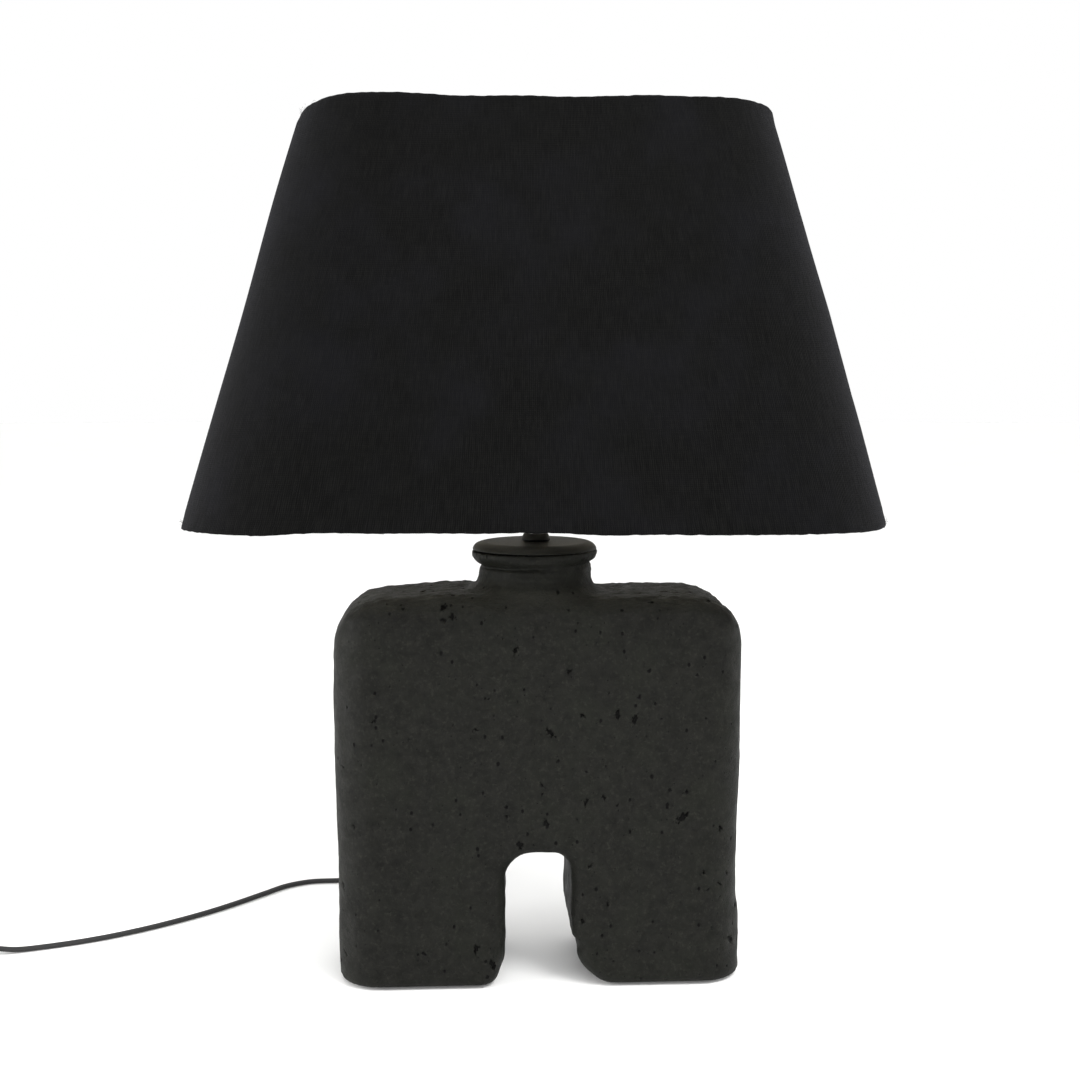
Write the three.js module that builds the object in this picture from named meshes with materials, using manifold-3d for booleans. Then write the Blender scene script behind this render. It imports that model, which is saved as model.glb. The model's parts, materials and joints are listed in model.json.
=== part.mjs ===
// Table lamp with shade: a hollow ceramic base on two legs, a metal neck cap, an E27 lamp holder with its bulb,
// a tapered linen shade, and a flat two-core lead with an inline switch and a plug.
// Millimetres, +Z up, front towards -Y. The origin is on the table, under the middle of the base.
import * as THREE from "three";
import { mergeVertices } from "three/addons/utils/BufferGeometryUtils.js";
import Module from "manifold-3d";

const wasm = await Module();
wasm.setup();

const GAP = 0.3; // clearance between pieces that touch

// Base: a slip-cast body with two feet and an arch between them
const PAD_THICK = 1.5;
const FOOT_Z = PAD_THICK + GAP;
const BASE = { halfWidth: 130, halfDepth: 46, corner: 28, top: 252, shoulderSide: 36, shoulderFront: 20 };
const FOOT_FILLET = 5;
const WALL = 6.5;
const ARCH = { halfWidth: 22.3, top: 87, corner: 17, edge: 11, flare: 9, flareHeight: 24 };
const NECK = { bore: 29.5, waist: 36.1, waistZ: 264, lip: 39.9, lipZ: 276.5, seat: 36.2, top: 283 };

// Neck cap and the stem that carries the holder
const CAP = { radius: 37.9, top: 284.5, skirt: 5, metal: 1.2 };
const TUBE = { radius: 5, bore: 3.5, bottom: 231, top: 318 };
const TUBE_HOLE = TUBE.radius + GAP;
const CLAMP = { length: 84, width: 16, thick: 3 };
const COLLAR = { radius: 9.3, height: 4.8, topRadius: 7.8 };
const STEM_RADIUS = 6.8;

// Lamp holder (E27) and bulb (60 mm globe)
const HOLDER = { bottom: 311.8, seam: 333, flange: 336, rim: 366, barrel: 19.3, flangeRadius: 23 };
const SCREW = { inner: 13.5, outer: 14.1, bottom: 337, top: 361 };
const BULB = { contact: 336.4, capBottom: 340, capTop: 362, capRadius: 13.1, globe: 30, globeZ: 408, top: 439.5 };
const BULB_GLASS = 0.9;

// Shade: a rounded oblong that tapers upwards
const SHADE = { bottom: 298, top: 556, halfWidth: 226, halfDepth: 88, corner: 80, taper: 0.65 };
const FABRIC = 1.2;
const LINER = 0.8;
const WIRE = 1.6;
const FITTER = { inner: 20.2, outer: 28, bottom: HOLDER.flange + GAP, thick: 2 };
const RING = { inner: 19.7, outer: 26, height: 9.5 };

// Lead: flat two-core flex, wider than thick
const FLEX = { width: 5, thick: 2.8 };
const FLOOR_RUN = 1.8; // height of the flex's middle where it lies on the table
const STRAIGHT = 6; // the flex runs straight this far into a switch or plug
const GLAND = { x: -78, z: 16, tip: 69, flange: 7.5, bore: 3.1 };
const SWITCH = { x: -414, y: 27.5, length: 58, width: 25, height: 14, seam: 6.6, corner: 9, wall: 1.8 };
const ROCKER = { length: 15, width: 9, pivotZ: 10.4, play: 1.2 };
const COIL = { x: -495, y: -11, inner: 18.9, outer: 40.8, bottom: 1.1, top: 6.9, entry: 38 };
const TIE = { width: 6, thick: 0.7, angle: THREE.MathUtils.degToRad(20) };
const PLUG = { x: -500, y: -72, z: 7, length: 42, halfWidth: 13.5, halfHeight: 6.7, pinRadius: 2, pinLength: 19 };
const PIN_SPACING = 18.6;

const COLOURS = {
  ceramic: { color: 0x2b2b28, roughness: 0.9, metalness: 0 },
  felt: { color: 0x1a1a1a, roughness: 1, metalness: 0 },
  blackMetal: { color: 0x35352f, roughness: 0.45, metalness: 0.7 },
  steel: { color: 0xa8a8a6, roughness: 0.35, metalness: 1 },
  brass: { color: 0xb08d4a, roughness: 0.3, metalness: 1 },
  blackPlastic: { color: 0x161616, roughness: 0.5, metalness: 0 },
  porcelain: { color: 0xe8e4da, roughness: 0.3, metalness: 0 },
  frostedGlass: { color: 0xf2f0ea, roughness: 0.4, metalness: 0 },
  clearGlass: { color: 0xe6ecec, roughness: 0.1, metalness: 0 },
  linen: { color: 0x1c1c1a, roughness: 1, metalness: 0 },
  liner: { color: 0xe6e2d8, roughness: 0.7, metalness: 0 },
  whiteWire: { color: 0xdcdad4, roughness: 0.5, metalness: 0.2 },
};

const lamp = new THREE.Group();

function add(name, geometry, finish) {
  const mesh = new THREE.Mesh(geometry, new THREE.MeshStandardMaterial(COLOURS[finish]));
  mesh.name = name;
  lamp.add(mesh);
  return mesh;
}

// ---- solids ----

function solid(geometry) {
  const bare = geometry.clone();
  bare.deleteAttribute("normal");
  bare.deleteAttribute("uv");
  const merged = mergeVertices(bare, 1e-3);
  return new wasm.Manifold(
    new wasm.Mesh({
      numProp: 3,
      vertProperties: merged.getAttribute("position").array,
      triVerts: new Uint32Array(merged.index.array),
    }),
  );
}

function geometryOf(manifold) {
  const mesh = manifold.getMesh();
  const geometry = new THREE.BufferGeometry();
  geometry.setAttribute("position", new THREE.BufferAttribute(mesh.vertProperties, 3));
  geometry.setIndex(new THREE.BufferAttribute(mesh.triVerts, 1));
  geometry.computeVertexNormals();
  return geometry;
}

// A solid of revolution about Z. The profile is [radius, height] pairs, anticlockwise.
function turned(profile, segments = 24) {
  const points = profile.map(([r, z]) => new THREE.Vector2(r, z));
  return new THREE.LatheGeometry(points, segments).rotateX(Math.PI / 2);
}

// A ring of revolution: the profile is closed back to its first point.
function turnedRing(profile, segments = 24) {
  return turned([...profile, profile[0]], segments);
}

function washer(inner, outer, bottom, top, segments = 24) {
  return turnedRing([[inner, bottom], [outer, bottom], [outer, top], [inner, top]], segments);
}

function roundedRect(halfWidth, halfDepth, radius) {
  const w = halfWidth - radius;
  const d = halfDepth - radius;
  const shape = new THREE.Shape();
  shape.absarc(w, d, radius, 0, Math.PI / 2);
  shape.absarc(-w, d, radius, Math.PI / 2, Math.PI);
  shape.absarc(-w, -d, radius, Math.PI, 1.5 * Math.PI);
  shape.absarc(w, -d, radius, 1.5 * Math.PI, 2 * Math.PI);
  return shape;
}

// Extrudes an outline through stations that each scale it and set its height: { at, sx, sy }.
function loft(shape, stations, curveSegments) {
  const last = stations.length - 1;
  const options = { depth: last, steps: last, bevelEnabled: false, curveSegments };
  const geometry = new THREE.ExtrudeGeometry(shape, options);
  const position = geometry.getAttribute("position");
  for (let i = 0; i < position.count; i += 1) {
    const { at, sx, sy } = stations[Math.round(position.getZ(i))];
    position.setXYZ(i, position.getX(i) * sx, position.getY(i) * sy, at);
  }
  geometry.computeVertexNormals();
  return geometry;
}

// A flat tube along a smooth path, lying on its wide side.
function flexAlong(points, steps, halfThick, halfWidth) {
  const path = new THREE.CatmullRomCurve3(points.map((p) => new THREE.Vector3(...p)), false, "centripetal");
  const chamfer = 0.45 * halfThick;
  const section = new THREE.Shape(
    [
      [-halfWidth + chamfer, -halfThick],
      [halfWidth - chamfer, -halfThick],
      [halfWidth, -halfThick + chamfer],
      [halfWidth, halfThick - chamfer],
      [halfWidth - chamfer, halfThick],
      [-halfWidth + chamfer, halfThick],
      [-halfWidth, halfThick - chamfer],
      [-halfWidth, -halfThick + chamfer],
    ].map(([x, y]) => new THREE.Vector2(x, y)),
  );
  return new THREE.ExtrudeGeometry(section, { steps, extrudePath: path, bevelEnabled: false });
}

// A round wire along a smooth path.
function wireAlong(path, steps, radius, curveSegments = 4) {
  const section = new THREE.Shape();
  section.absarc(0, 0, radius, 0, 2 * Math.PI);
  return new THREE.ExtrudeGeometry(section, { steps, extrudePath: path, bevelEnabled: false, curveSegments });
}

// How far a quarter round of the given radius stands back at a depth below its start.
function roundBack(radius, depth) {
  return radius - Math.sqrt(Math.max(0, radius ** 2 - (radius - depth) ** 2));
}

// ---- base ----

// Heights of the ceramic outline, each with how far the sides and the front stand in from the full size.
function bodyStations(halfWidth, halfDepth, bottom, top, side, front, fillet) {
  const stations = [];
  const level = (at, inX, inY) =>
    stations.push({ at, sx: (halfWidth - inX) / halfWidth, sy: (halfDepth - inY) / halfDepth });
  for (const share of [0, 0.3, 1]) {
    const inset = roundBack(fillet, share * fillet);
    level(bottom + share * fillet, inset, inset);
  }
  const turns = 7;
  for (let i = 0; i <= turns; i += 1) {
    const angle = (i / turns) * (Math.PI / 2);
    level(top - side * (1 - Math.sin(angle)), side * (1 - Math.cos(angle)), front * (1 - Math.cos(angle)));
  }
  return stations;
}

function archOutline(halfWidth, top, corner, flare, flareHeight) {
  const w = halfWidth - corner;
  const shape = new THREE.Shape();
  shape.moveTo(-halfWidth - flare, FOOT_Z - 10);
  shape.lineTo(halfWidth + flare, FOOT_Z - 10);
  shape.lineTo(halfWidth + flare, FOOT_Z);
  shape.quadraticCurveTo(halfWidth, FOOT_Z + 0.2 * flareHeight, halfWidth, FOOT_Z + flareHeight);
  shape.absarc(w, top - corner, corner, 0, Math.PI / 2);
  shape.absarc(-w, top - corner, corner, Math.PI / 2, Math.PI);
  shape.lineTo(-halfWidth, FOOT_Z + flareHeight);
  shape.quadraticCurveTo(-halfWidth, FOOT_Z + 0.2 * flareHeight, -halfWidth - flare, FOOT_Z);
  return shape;
}

// The arch's tunnel through the base, widening at both faces so that its edges are rounded.
function archTunnel() {
  const stations = [];
  const level = (at, widen) =>
    stations.push({ at, sx: 1 + widen / ARCH.halfWidth, sy: 1 + widen / ARCH.top });
  const depths = [0, 0.12, 0.3, 0.6, 1].map((share) => share * ARCH.edge);
  level(-BASE.halfDepth - 5, ARCH.edge);
  for (const depth of depths) level(-BASE.halfDepth + depth, roundBack(ARCH.edge, depth));
  for (const depth of [...depths].reverse()) level(BASE.halfDepth - depth, roundBack(ARCH.edge, depth));
  level(BASE.halfDepth + 5, ARCH.edge);
  const outline = archOutline(ARCH.halfWidth, ARCH.top, ARCH.corner, ARCH.flare, ARCH.flareHeight);
  return solid(loft(outline, stations, 3).rotateX(Math.PI / 2));
}

// The block that stays solid round the tunnel, so that the hollow inside has a wall there.
function archWall() {
  const outline = archOutline(ARCH.halfWidth + WALL, ARCH.top + WALL, ARCH.corner + WALL, ARCH.flare, ARCH.flareHeight);
  const stations = [-BASE.halfDepth, BASE.halfDepth].map((at) => ({ at, sx: 1, sy: 1 }));
  return solid(loft(outline, stations, 2).rotateX(Math.PI / 2));
}

function neckSolid() {
  const circle = new THREE.Shape();
  circle.absarc(0, 0, 1, 0, 2 * Math.PI);
  const rings = [
    [BASE.top - 12, 40, 38],
    [BASE.top, 44, 39],
    [BASE.top + 3.5, 40.5, 38.4],
    [BASE.top + 7, 38, 37.4],
    [NECK.waistZ, NECK.waist, NECK.waist],
    [NECK.waistZ + 5, NECK.waist + 0.5, NECK.waist + 0.5],
    [NECK.lipZ - 4, NECK.lip - 1.4, NECK.lip - 1.4],
    [NECK.lipZ, NECK.lip, NECK.lip],
    [NECK.lipZ + 1.8, NECK.lip - 0.9, NECK.lip - 0.9],
    [NECK.lipZ + 2.4, NECK.seat, NECK.seat],
    [NECK.top - 1, NECK.seat, NECK.seat],
    [NECK.top, NECK.seat - 1, NECK.seat - 1],
  ];
  return solid(loft(circle, rings.map(([at, sx, sy]) => ({ at, sx, sy })), 18));
}

function baseBody() {
  const { halfWidth, halfDepth, corner, top, shoulderSide, shoulderFront } = BASE;
  const outer = solid(
    loft(
      roundedRect(halfWidth, halfDepth, corner),
      bodyStations(halfWidth, halfDepth, FOOT_Z, top, shoulderSide, shoulderFront, FOOT_FILLET),
      3,
    ),
  );
  const inW = halfWidth - WALL;
  const inD = halfDepth - WALL;
  const hollow = solid(
    loft(
      roundedRect(inW, inD, corner - WALL),
      bodyStations(inW, inD, FOOT_Z + WALL, top - WALL, shoulderSide - WALL, shoulderFront - WALL, 3),
      2,
    ),
  );
  const bore = solid(new THREE.CylinderGeometry(NECK.bore, NECK.bore, 60, 36).rotateX(Math.PI / 2)
    .translate(0, 0, NECK.top - 18));
  const leadHole = solid(new THREE.CylinderGeometry(4.4, 4.4, 24, 16).translate(GLAND.x, halfDepth, GLAND.z));
  const body = outer
    .add(neckSolid())
    .subtract(hollow.subtract(archWall()))
    .subtract(bore)
    .subtract(archTunnel())
    .subtract(leadHole);
  add("base_body", geometryOf(body), "ceramic");
}

function feltPads() {
  const inner = ARCH.halfWidth + ARCH.flare + 8;
  const outer = BASE.halfWidth - 14;
  const halfWidth = (outer - inner) / 2;
  const halfDepth = BASE.halfDepth - 16;
  for (const [name, side] of [["felt_pad_left", -1], ["felt_pad_right", 1]]) {
    const options = { depth: PAD_THICK, bevelEnabled: false, curveSegments: 3 };
    const pad = new THREE.ExtrudeGeometry(roundedRect(halfWidth, halfDepth, 12), options);
    add(name, pad, "felt").position.x = (side * (inner + outer)) / 2;
  }
}

// ---- neck cap, clamp and stem ----

function neckCap() {
  const { radius, top, skirt, metal } = CAP;
  const under = top - metal;
  const profile = [
    [TUBE_HOLE, under],
    [radius - metal - 0.8, under],
    [radius - metal, under - 0.8],
    [radius - metal, top - skirt],
    [radius, top - skirt],
    [radius, top - 1.6],
    [radius - 0.5, top - 0.5],
    [radius - 1.6, top],
    [TUBE_HOLE, top],
  ];
  add("neck_cap", turnedRing(profile, 40), "blackMetal");
}

function hexNut(name, bottom, height, acrossFlats) {
  const outline = new THREE.Shape();
  const reach = acrossFlats / Math.sqrt(3);
  for (let i = 0; i < 6; i += 1) {
    const angle = (i * Math.PI) / 3;
    const place = i === 0 ? "moveTo" : "lineTo";
    outline[place](reach * Math.cos(angle), reach * Math.sin(angle));
  }
  outline.closePath();
  const hole = new THREE.Path();
  hole.absarc(0, 0, TUBE_HOLE, 0, 2 * Math.PI, true);
  outline.holes.push(hole);
  const options = { depth: height, bevelEnabled: false, curveSegments: 8 };
  add(name, new THREE.ExtrudeGeometry(outline, options), "steel").position.z = bottom;
}

function clamp() {
  const top = BASE.top - WALL - GAP;
  const bar = roundedRect(CLAMP.length / 2, CLAMP.width / 2, 5);
  const hole = new THREE.Path();
  hole.absarc(0, 0, TUBE_HOLE, 0, 2 * Math.PI, true);
  bar.holes.push(hole);
  const options = { depth: CLAMP.thick, bevelEnabled: false, curveSegments: 8 };
  add("clamp_bar", new THREE.ExtrudeGeometry(bar, options), "steel").position.z = top - CLAMP.thick;
  const washerTop = top - CLAMP.thick - GAP;
  add("clamp_washer", washer(TUBE_HOLE, 9.5, washerTop - 1.5, washerTop, 20), "steel");
  hexNut("clamp_nut", washerTop - 1.5 - GAP - 4, 4, 15);
}

function threadedTube() {
  add("threaded_tube", washer(TUBE.bore, TUBE.radius, TUBE.bottom, TUBE.top), "steel");
}

function neckNut() {
  const bottom = CAP.top + GAP;
  const { radius, height, topRadius } = COLLAR;
  const profile = [
    [TUBE_HOLE, bottom],
    [radius - 0.6, bottom],
    [radius, bottom + 0.7],
    [radius, bottom + 1.9],
    [topRadius, bottom + height],
    [TUBE_HOLE, bottom + height],
  ];
  add("neck_nut", turnedRing(profile), "blackMetal");
}

function stemTube() {
  const bottom = CAP.top + GAP + COLLAR.height + GAP;
  add("stem_tube", washer(TUBE_HOLE, STEM_RADIUS, bottom, HOLDER.bottom - GAP), "blackMetal");
}

// ---- lamp holder ----

function holderCap() {
  const { bottom, seam } = HOLDER;
  const profile = [
    [TUBE_HOLE, bottom],
    [9.5, bottom],
    [10.5, bottom + 1],
    [10.5, bottom + 4],
    [17.5, bottom + 8],
    [19.5, bottom + 12],
    [19.5, seam - GAP],
    [17.6, seam - GAP],
    [17.6, bottom + 12.4],
    [16, bottom + 9.5],
    [9.4, bottom + 6],
    [TUBE_HOLE, bottom + 6],
  ];
  add("holder_cap", turnedRing(profile), "blackPlastic");
}

function holderShell() {
  const { seam, flange, rim, barrel, flangeRadius } = HOLDER;
  const bore = SCREW.outer + GAP;
  const profile = [
    [bore, seam],
    [flangeRadius - 0.8, seam],
    [flangeRadius, seam + 0.8],
    [flangeRadius, flange],
    [barrel, flange],
    [barrel, rim - 1],
    [barrel - 1, rim],
    [bore, rim],
  ];
  add("holder_shell", turnedRing(profile), "blackPlastic");
}

function holderContacts() {
  const top = HOLDER.seam - GAP;
  const bottom = top - 9;
  add("holder_insert", turned([[0, bottom], [16.6, bottom], [16.6, top], [0, top]]), "porcelain");
  for (const [name, side] of [["terminal_screw_left", -1], ["terminal_screw_right", 1]]) {
    const height = 1.6;
    const screw = turned([[0, 0], [2.4, 0], [2.4, height], [0, height]], 16);
    add(name, screw, "brass").position.set(side * 11, 0, bottom - GAP - height);
  }
  add("screw_shell", washer(SCREW.inner, SCREW.outer, SCREW.bottom, SCREW.top, 32), "brass");
  const contactTop = BULB.contact - GAP;
  const contact = turned([[0, HOLDER.seam], [4, HOLDER.seam], [2.5, contactTop], [0, contactTop]], 16);
  add("centre_contact", contact, "brass");
}

// ---- bulb ----

function bulb() {
  const { contact, capBottom, capTop, capRadius, globe, globeZ, top } = BULB;
  const group = new THREE.Group();
  const button = turned([[0, contact], [4.4, contact], [4.8, contact + 0.8], [0, contact + 0.8]], 16);
  group.add(add("bulb_contact", button, "steel"));
  const insulatorZ = contact + 0.8 + GAP;
  const cone = [[0, insulatorZ], [6, insulatorZ], [11.6, capBottom - GAP], [0, capBottom - GAP]];
  group.add(add("bulb_insulator", turned(cone, 20), "blackPlastic"));
  const shell = washer(capRadius - 0.6, capRadius, capBottom, capTop, 28);
  group.add(add("bulb_cap", shell, "steel"));

  // The globe's outline: a neck, a smooth swell and a round top.
  const neck = capRadius - 0.6 - GAP;
  const swell = new THREE.CubicBezierCurve(
    new THREE.Vector2(capRadius + 0.1, capTop + GAP),
    new THREE.Vector2(capRadius + 0.1, capTop + 20),
    new THREE.Vector2(globe, globeZ - 24),
    new THREE.Vector2(globe, globeZ),
  ).getPoints(5);
  const dome = new THREE.EllipseCurve(0, globeZ, globe, top - globeZ, 0, Math.PI / 2).getPoints(5).slice(1);
  const outside = [...swell, ...dome].map((p) => [Math.max(p.x, 0), p.y]);
  const inside = outside.slice(1).map(([r, z]) => [
    Math.max(0, (r * (globe - BULB_GLASS)) / globe),
    z > globeZ ? globeZ + ((z - globeZ) * (top - globeZ - BULB_GLASS)) / (top - globeZ) : z,
  ]);
  const profile = [
    ...[...inside].reverse(),
    [neck - BULB_GLASS, capTop + 2],
    [neck - BULB_GLASS, capTop - 8],
    [neck, capTop - 8],
    [neck, capTop + GAP],
    ...outside,
  ];
  group.add(add("bulb_glass", turned(profile), "frostedGlass"));

  const stem = [[0, capTop - 4], [9, capTop - 4], [5, capTop + 2], [2.6, capTop + 10], [2.2, capTop + 26], [0, capTop + 27]];
  group.add(add("bulb_stem", turned(stem, 16), "clearGlass"));
  group.add(add("bulb_filament", filament(capTop + 29), "steel"));
  lamp.add(group);
}

// The filament's loop, standing on its glass stem.
function filament(bottom) {
  const turns = 5;
  const points = [];
  for (let i = 0; i <= turns * 2; i += 1) {
    const angle = (i / (turns * 2)) * 1.5 * Math.PI;
    const rise = i % 2 === 0 ? 0 : 13;
    points.push(new THREE.Vector3(7 * Math.cos(angle), 7 * Math.sin(angle), bottom + rise));
  }
  return wireAlong(new THREE.CatmullRomCurve3(points, false, "centripetal"), 30, 0.5, 2);
}

// ---- shade ----

// The shade's scale at a height: 1 at its bottom edge, its taper at the top.
function shadeScale(z) {
  return 1 - ((1 - SHADE.taper) * (z - SHADE.bottom)) / (SHADE.top - SHADE.bottom);
}

// A thin sheet that follows the shade's wall, set in from its outside by the given distances.
function shadeSheet(insetOut, insetIn, bottom, top) {
  const { halfWidth, halfDepth, corner } = SHADE;
  const outline = roundedRect(halfWidth - insetOut, halfDepth - insetOut, corner - insetOut);
  const inside = roundedRect(halfWidth - insetIn, halfDepth - insetIn, corner - insetIn);
  outline.holes.push(new THREE.Path(inside.getPoints(5).reverse()));
  const stations = [bottom, top].map((at) => ({ at, sx: shadeScale(at), sy: shadeScale(at) }));
  return loft(outline, stations, 5);
}

// A wire hoop's path round the inside of the shade. Its ends meet in a butt joint on the right.
function hoopPath(inset, z) {
  const scale = shadeScale(z);
  const { halfWidth, halfDepth, corner } = SHADE;
  const outline = roundedRect(halfWidth * scale - inset, halfDepth * scale - inset, corner * scale - inset);
  const points = outline.getPoints(4);
  const start = points[0];
  points.pop();
  points.push(new THREE.Vector2(start.x, start.y - 2 * GAP));
  return new THREE.CatmullRomCurve3(points.map((p) => new THREE.Vector3(p.x, p.y, z)), false, "centripetal");
}

function shade() {
  const { bottom, top, halfWidth, halfDepth } = SHADE;
  const linerOut = (FABRIC + GAP) / SHADE.taper;
  add("shade_fabric", shadeSheet(0, FABRIC / SHADE.taper, bottom, top), "linen");
  add("shade_liner", shadeSheet(linerOut, linerOut + LINER, bottom + 0.6, top - 0.6), "liner");
  const inset = linerOut + LINER + GAP + WIRE + 1.2;
  const lowZ = bottom + 0.6 + WIRE + 1;
  const highZ = top - 0.6 - WIRE - 1;
  add("bottom_wire", wireAlong(hoopPath(inset, lowZ), 52, WIRE, 3), "whiteWire");
  add("top_wire", wireAlong(hoopPath(inset, highZ), 52, WIRE, 3), "whiteWire");

  add("fitter_ring", washer(FITTER.inner, FITTER.outer, FITTER.bottom, FITTER.bottom + FITTER.thick, 32), "whiteWire");
  const armTop = FITTER.bottom + FITTER.thick / 2;
  const start = FITTER.outer + GAP + 0.5;
  const scale = shadeScale(lowZ);
  const reachX = halfWidth * scale - inset - WIRE - GAP - 0.8;
  const reachY = halfDepth * scale - inset - WIRE - GAP - 1.2;
  const arms = [
    ["fitter_arm_left", [-start, 0], [-reachX, 0]],
    ["fitter_arm_right", [start, 0], [reachX, 0]],
    ["fitter_arm_front", [0, -start], [0, -reachY]],
    ["fitter_arm_back", [0, start], [0, reachY]],
  ];
  for (const [name, from, to] of arms) {
    const path = new THREE.LineCurve3(new THREE.Vector3(...from, armTop), new THREE.Vector3(...to, lowZ));
    add(name, wireAlong(path, 1, 1.5), "whiteWire");
  }

  const ringBottom = FITTER.bottom + FITTER.thick + GAP;
  const ringProfile = [
    [RING.inner, ringBottom],
    [RING.outer, ringBottom],
    [RING.outer, ringBottom + 3],
    [23.5, ringBottom + 3.6],
    [23.5, ringBottom + RING.height],
    [RING.inner, ringBottom + RING.height],
  ];
  add("shade_ring", turnedRing(ringProfile), "blackPlastic");
}

// ---- lead ----

function innerLead() {
  const points = [
    [GLAND.x, GLAND.tip, GLAND.z],
    [GLAND.x, 46, GLAND.z],
    [GLAND.x, 35, GLAND.z + 0.3],
    [GLAND.x, 24, GLAND.z + 5],
    [GLAND.x + 2, 10, GLAND.z + 24],
    [GLAND.x + 8, 2, GLAND.z + 70],
    [GLAND.x + 22, 0, 150],
    [-26, 0, 195],
    [-3, 0, 218],
    [0, 0, 240],
    [0, 0, TUBE.top],
  ];
  add("inner_lead", flexAlong(points, 30, 1.4, 2.4), "blackPlastic");
}

function cordGland() {
  const { x, z, tip, flange, bore } = GLAND;
  const back = BASE.halfDepth;
  const profile = [
    [bore, back - 9],
    [4, back - 9],
    [4, back + GAP],
    [flange, back + GAP],
    [flange, back + 2.4],
    [5.4, back + 3.2],
    [3.9, tip],
    [bore, tip],
  ];
  add("cord_gland", turnedRing(profile, 20).rotateX(-Math.PI / 2), "blackPlastic").position.set(x, 0, z);
}

function freeCord() {
  const half = SWITCH.length / 2;
  const lead = [
    [GLAND.x, GLAND.tip + GAP, GLAND.z],
    [GLAND.x, 79, 15],
    [GLAND.x, 91, 10.6],
    [GLAND.x, 103, 5.4],
    [GLAND.x, 114, 2.4],
    [GLAND.x, 125, FLOOR_RUN],
    [-82, 140, FLOOR_RUN],
    [-93, 152, FLOOR_RUN],
    [-108, 160, FLOOR_RUN],
    [-128, 163, FLOOR_RUN],
    [-149, 162.5, FLOOR_RUN],
    [-168, 161, FLOOR_RUN],
    [-184.5, 152.5, FLOOR_RUN],
    [-200.4, 135.3, FLOOR_RUN],
    [-216.3, 117.6, FLOOR_RUN],
    [-232, 101.5, FLOOR_RUN],
    [-250, 85.8, FLOOR_RUN],
    [-275, 67, FLOOR_RUN],
    [-304, 50, FLOOR_RUN],
    [-334, 38, FLOOR_RUN],
    [-354, 31.5, 2.4],
    [-368, SWITCH.y + 0.6, 5],
    [SWITCH.x + half + GAP + STRAIGHT, SWITCH.y, SWITCH.seam],
    [SWITCH.x + half + GAP, SWITCH.y, SWITCH.seam],
  ];
  add("cord_lead", flexAlong(lead, 48, FLEX.thick / 2, FLEX.width / 2), "blackPlastic");

  const tangentGap = Math.sqrt(COIL.outer ** 2 - (COIL.entry - FLEX.width / 2) ** 2) + 1;
  const middle = [
    [SWITCH.x - half - GAP, SWITCH.y, SWITCH.seam],
    [SWITCH.x - half - GAP - STRAIGHT, SWITCH.y, SWITCH.seam],
    [SWITCH.x - half - 18, SWITCH.y - 0.3, 4],
    [COIL.x + tangentGap, COIL.y + COIL.entry, 2.5],
  ];
  add("cord_middle", flexAlong(middle, 4, FLEX.thick / 2, FLEX.width / 2), "blackPlastic");

  const out = COIL.x - COIL.entry;
  const tail = [
    [out, COIL.y - tangentGap, 4],
    [out, COIL.y - 36, FLOOR_RUN + 0.4],
    [out + 7, PLUG.y + 7, FLOOR_RUN + 0.6],
    [out + 20, PLUG.y, 5],
    [PLUG.x - GAP - STRAIGHT, PLUG.y, PLUG.z],
    [PLUG.x - GAP, PLUG.y, PLUG.z],
  ];
  add("cord_tail", flexAlong(tail, 8, FLEX.thick / 2, FLEX.width / 2), "blackPlastic");
}

function cordCoil() {
  const { x, y, inner, outer, bottom, top } = COIL;
  const round = 1.2;
  const profile = [
    [inner, bottom + round],
    [inner + round, bottom],
    [outer - round, bottom],
    [outer, bottom + round],
    [outer, top - round],
    [outer - round, top],
    [inner + round, top],
    [inner, top - round],
  ];
  add("cord_coil", turnedRing(profile), "blackPlastic").position.set(x, y, 0);
}

// A strap round the coil's bundle of turns, seen as a frame in the plane through the coil's axis.
function coilTie() {
  const middle = (COIL.inner + COIL.outer) / 2;
  const halfRun = (COIL.outer - COIL.inner) / 2 + 2 * GAP;
  const halfRise = (COIL.top - COIL.bottom) / 2 + GAP;
  const frame = roundedRect(halfRun + TIE.thick, halfRise + TIE.thick, 1.2);
  frame.holes.push(new THREE.Path(roundedRect(halfRun, halfRise, 0.5).getPoints(2).reverse()));
  const strap = new THREE.ExtrudeGeometry(frame, { depth: TIE.width, bevelEnabled: false, curveSegments: 2 });
  strap.translate(middle, (COIL.top + COIL.bottom) / 2, -TIE.width / 2).rotateX(Math.PI / 2);
  const tie = add("coil_tie", strap, "felt");
  tie.rotation.z = TIE.angle;
  tie.position.set(COIL.x, COIL.y, 0);
}

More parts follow.
